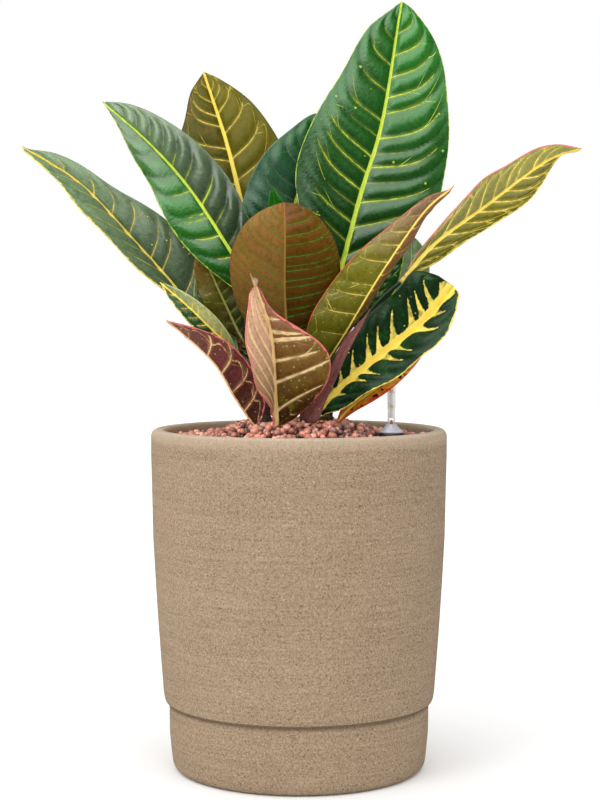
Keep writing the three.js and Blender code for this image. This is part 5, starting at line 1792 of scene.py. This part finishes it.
def studio_world():
    """White all round. Its light is strongest from the upper left and front; gloss mirrors a darker one."""
    world = bpy.data.worlds.new("Studio")
    world.use_nodes = True
    recipe = Recipe(world.node_tree)
    m = recipe.math
    direction = recipe.add("ShaderNodeTexCoord").outputs["Generated"]
    towards = []
    for aim in ((-0.2, -0.55, 0.8), (-0.35, -0.45, 0.82)):
        facing = recipe.add("ShaderNodeVectorMath", operation="DOT_PRODUCT")
        recipe.put(facing.inputs[0], direction)
        recipe.put(facing.inputs[1], tuple(unit(np.array(aim))))
        towards.append(facing.outputs["Value"])
    lit = recipe.ramp(towards[0], -0.5, 1.0, 0.48, 1.55)
    mirrored = recipe.ramp(towards[1], 0.66, 0.99, 0.02, 9.0)
    path = recipe.add("ShaderNodeLightPath")
    glossy = path.outputs["Is Glossy Ray"]
    strength = plus(times(lit, minus(1.0, glossy)), times(mirrored, glossy))
    soft = world.node_tree.nodes["Background"]
    soft.inputs["Color"].default_value = (1, 1, 1, 1)
    recipe.put(soft.inputs["Strength"], strength)
    seen = recipe.add("ShaderNodeBackground", {"Color": (1, 1, 1), "Strength": 1.0})
    to_camera = m("MAXIMUM", path.outputs["Is Camera Ray"], path.outputs["Is Transmission Ray"])
    both = recipe.add("ShaderNodeMixShader", {0: to_camera, 1: soft.outputs[0], 2: seen.outputs[0]})
    recipe.put(world.node_tree.nodes["World Output"].inputs["Surface"], both.outputs[0])
    return world


def make_stage(stage):
    """Pale floor, soft light from the upper left and front, and the camera of the photograph."""
    size = 6.0
    mesh = bpy.data.meshes.new("studio_floor")
    corners = [(-size, -size, 0), (size, -size, 0), (size, size, 0), (-size, size, 0)]
    mesh.from_pydata(corners, [], [(0, 1, 2, 3)])
    floor = placed("studio_floor", mesh)
    material, recipe, shader = new_material("Studio floor", Specular_IOR_Level=0.0)
    place = recipe.place()
    drift = recipe.noise(place, 3.0, 2.0)
    recipe.put(shader.inputs["Base Color"], recipe.mix(drift, stage.floor, srgb(246, 246, 246)))
    recipe.put(shader.inputs["Roughness"], 0.9)
    mesh.materials.append(material)
    floor.visible_glossy = False

    bpy.context.scene.world = studio_world()
    area_light("key_light", (-1.3, -1.5, 1.9), (0, 0, 0.45), 0.9, 12)

    data = bpy.data.cameras.new("photo_camera")
    data.lens, data.sensor_width, data.sensor_fit = stage.focal_length, 36.0, "AUTO"
    camera = placed("photo_camera", data)
    camera.location = (0.001, -stage.camera_distance, stage.camera_height)
    camera.rotation_euler = (math.pi / 2 - stage.camera_pitch, 0, 0)
    bpy.context.scene.camera = camera
    bpy.context.scene.view_settings.view_transform = "Standard"


# Operators and panel


class CROTON_OT_planter(bpy.types.Operator):
    """Turn the sand-faced planter"""

    bl_idname = "croton.planter"
    bl_label = "Planter"

    def execute(self, context):
        make_planter(context.scene.croton_planter)
        return {"FINISHED"}


class CROTON_OT_bed(bpy.types.Operator):
    """Lay the soil mix and the clay pebbles"""

    bl_idname = "croton.bed"
    bl_label = "Pebble bed"

    def execute(self, context):
        make_bed(context.scene.croton_bed)
        make_pebbles(context.scene.croton_bed)
        return {"FINISHED"}


class CROTON_OT_stems(bpy.types.Operator):
    """Grow the three woody stems"""

    bl_idname = "croton.stems"
    bl_label = "Stems"

    def execute(self, context):
        for stem in STEMS:
            make_stem(stem, context.scene.croton_plant)
        return {"FINISHED"}


class CROTON_OT_leaves(bpy.types.Operator):
    """Grow and paint the leaves"""

    bl_idname = "croton.leaves"
    bl_label = "Leaves"

    def execute(self, context):
        plant = context.scene.croton_plant
        for number, (name, leaf) in enumerate(LEAVES.items(), 1):
            paint = PAINTS[leaf.paint]
            vertices, faces, values, underside = leaf_surface(leaf, plant, number)
            if not np.isfinite(vertices).all():
                raise ValueError(f"{name} has no finite shape")
            material = leaf_material(name[-2:], plant, paint, number)
            piece = mesh_object(f"croton_{name}", vertices, faces, material, "pot", [name])
            along_mm, across_mm, along, to_margin, x, phase, vein_distance, strength, spacing = values.T
            set_vectors(piece.data, "leaf_place", np.stack([along_mm, across_mm, along], -1))
            set_vectors(piece.data, "leaf_edge", np.stack([to_margin, x, underside], -1))
            set_vectors(piece.data, "leaf_vein", np.stack([phase, vein_distance, strength], -1))
            set_vectors(piece.data, "leaf_spacing", np.stack([spacing, spacing, spacing], -1))
            set_colours(piece.data, "blade_tint", blade_tint(plant, paint, along, across_mm))
        return {"FINISHED"}


class CROTON_OT_gauge(bpy.types.Operator):
    """Turn the pieces of the water gauge"""

    bl_idname = "croton.gauge"
    bl_label = "Water gauge"

    def execute(self, context):
        make_gauge(context.scene.croton_gauge)
        return {"FINISHED"}


class CROTON_OT_stage(bpy.types.Operator):
    """Set up the floor, the lights and the camera"""

    bl_idname = "croton.stage"
    bl_label = "Stage"

    def execute(self, context):
        make_stage(context.scene.croton_stage)
        return {"FINISHED"}


class CROTON_PT_panel(bpy.types.Panel):
    """Lists the pieces of the potted croton"""

    bl_idname = "CROTON_PT_panel"
    bl_label = "Potted croton"
    bl_space_type = "VIEW_3D"
    bl_region_type = "UI"
    bl_category = "Croton"

    def draw(self, context):
        for operator, settings in zip(OPERATORS, SHOWN_SETTINGS):
            box = self.layout.box()
            box.operator(operator.bl_idname)
            if settings:
                group = getattr(context.scene, settings)
                for name in group.__annotations__:
                    box.prop(group, name)


OPERATORS = [
    CROTON_OT_planter, CROTON_OT_bed, CROTON_OT_stems, CROTON_OT_leaves, CROTON_OT_gauge, CROTON_OT_stage,
]
SHOWN_SETTINGS = ["croton_planter", "croton_bed", None, "croton_plant", "croton_gauge", "croton_stage"]
SETTINGS = {
    "croton_planter": PlanterSettings,
    "croton_bed": BedSettings,
    "croton_plant": PlantSettings,
    "croton_gauge": GaugeSettings,
    "croton_stage": StageSettings,
}


def register():
    """Registers the settings, the operators and the panel."""
    for name, settings in SETTINGS.items():
        bpy.utils.register_class(settings)
        setattr(bpy.types.Scene, name, bpy.props.PointerProperty(type=settings))
    for operator in OPERATORS:
        bpy.utils.register_class(operator)
    bpy.utils.register_class(CROTON_PT_panel)


def unregister():
    """Takes the add-on's classes out again."""
    bpy.utils.unregister_class(CROTON_PT_panel)
    for operator in reversed(OPERATORS):
        bpy.utils.unregister_class(operator)
    for name, settings in SETTINGS.items():
        delattr(bpy.types.Scene, name)
        bpy.utils.unregister_class(settings)


def main():
    """Builds every piece in order."""
    register()
    bpy.ops.croton.planter()
    bpy.ops.croton.bed()
    bpy.ops.croton.stems()
    bpy.ops.croton.leaves()
    bpy.ops.croton.gauge()
    bpy.ops.croton.stage()


if __name__ == "__main__":
    main()
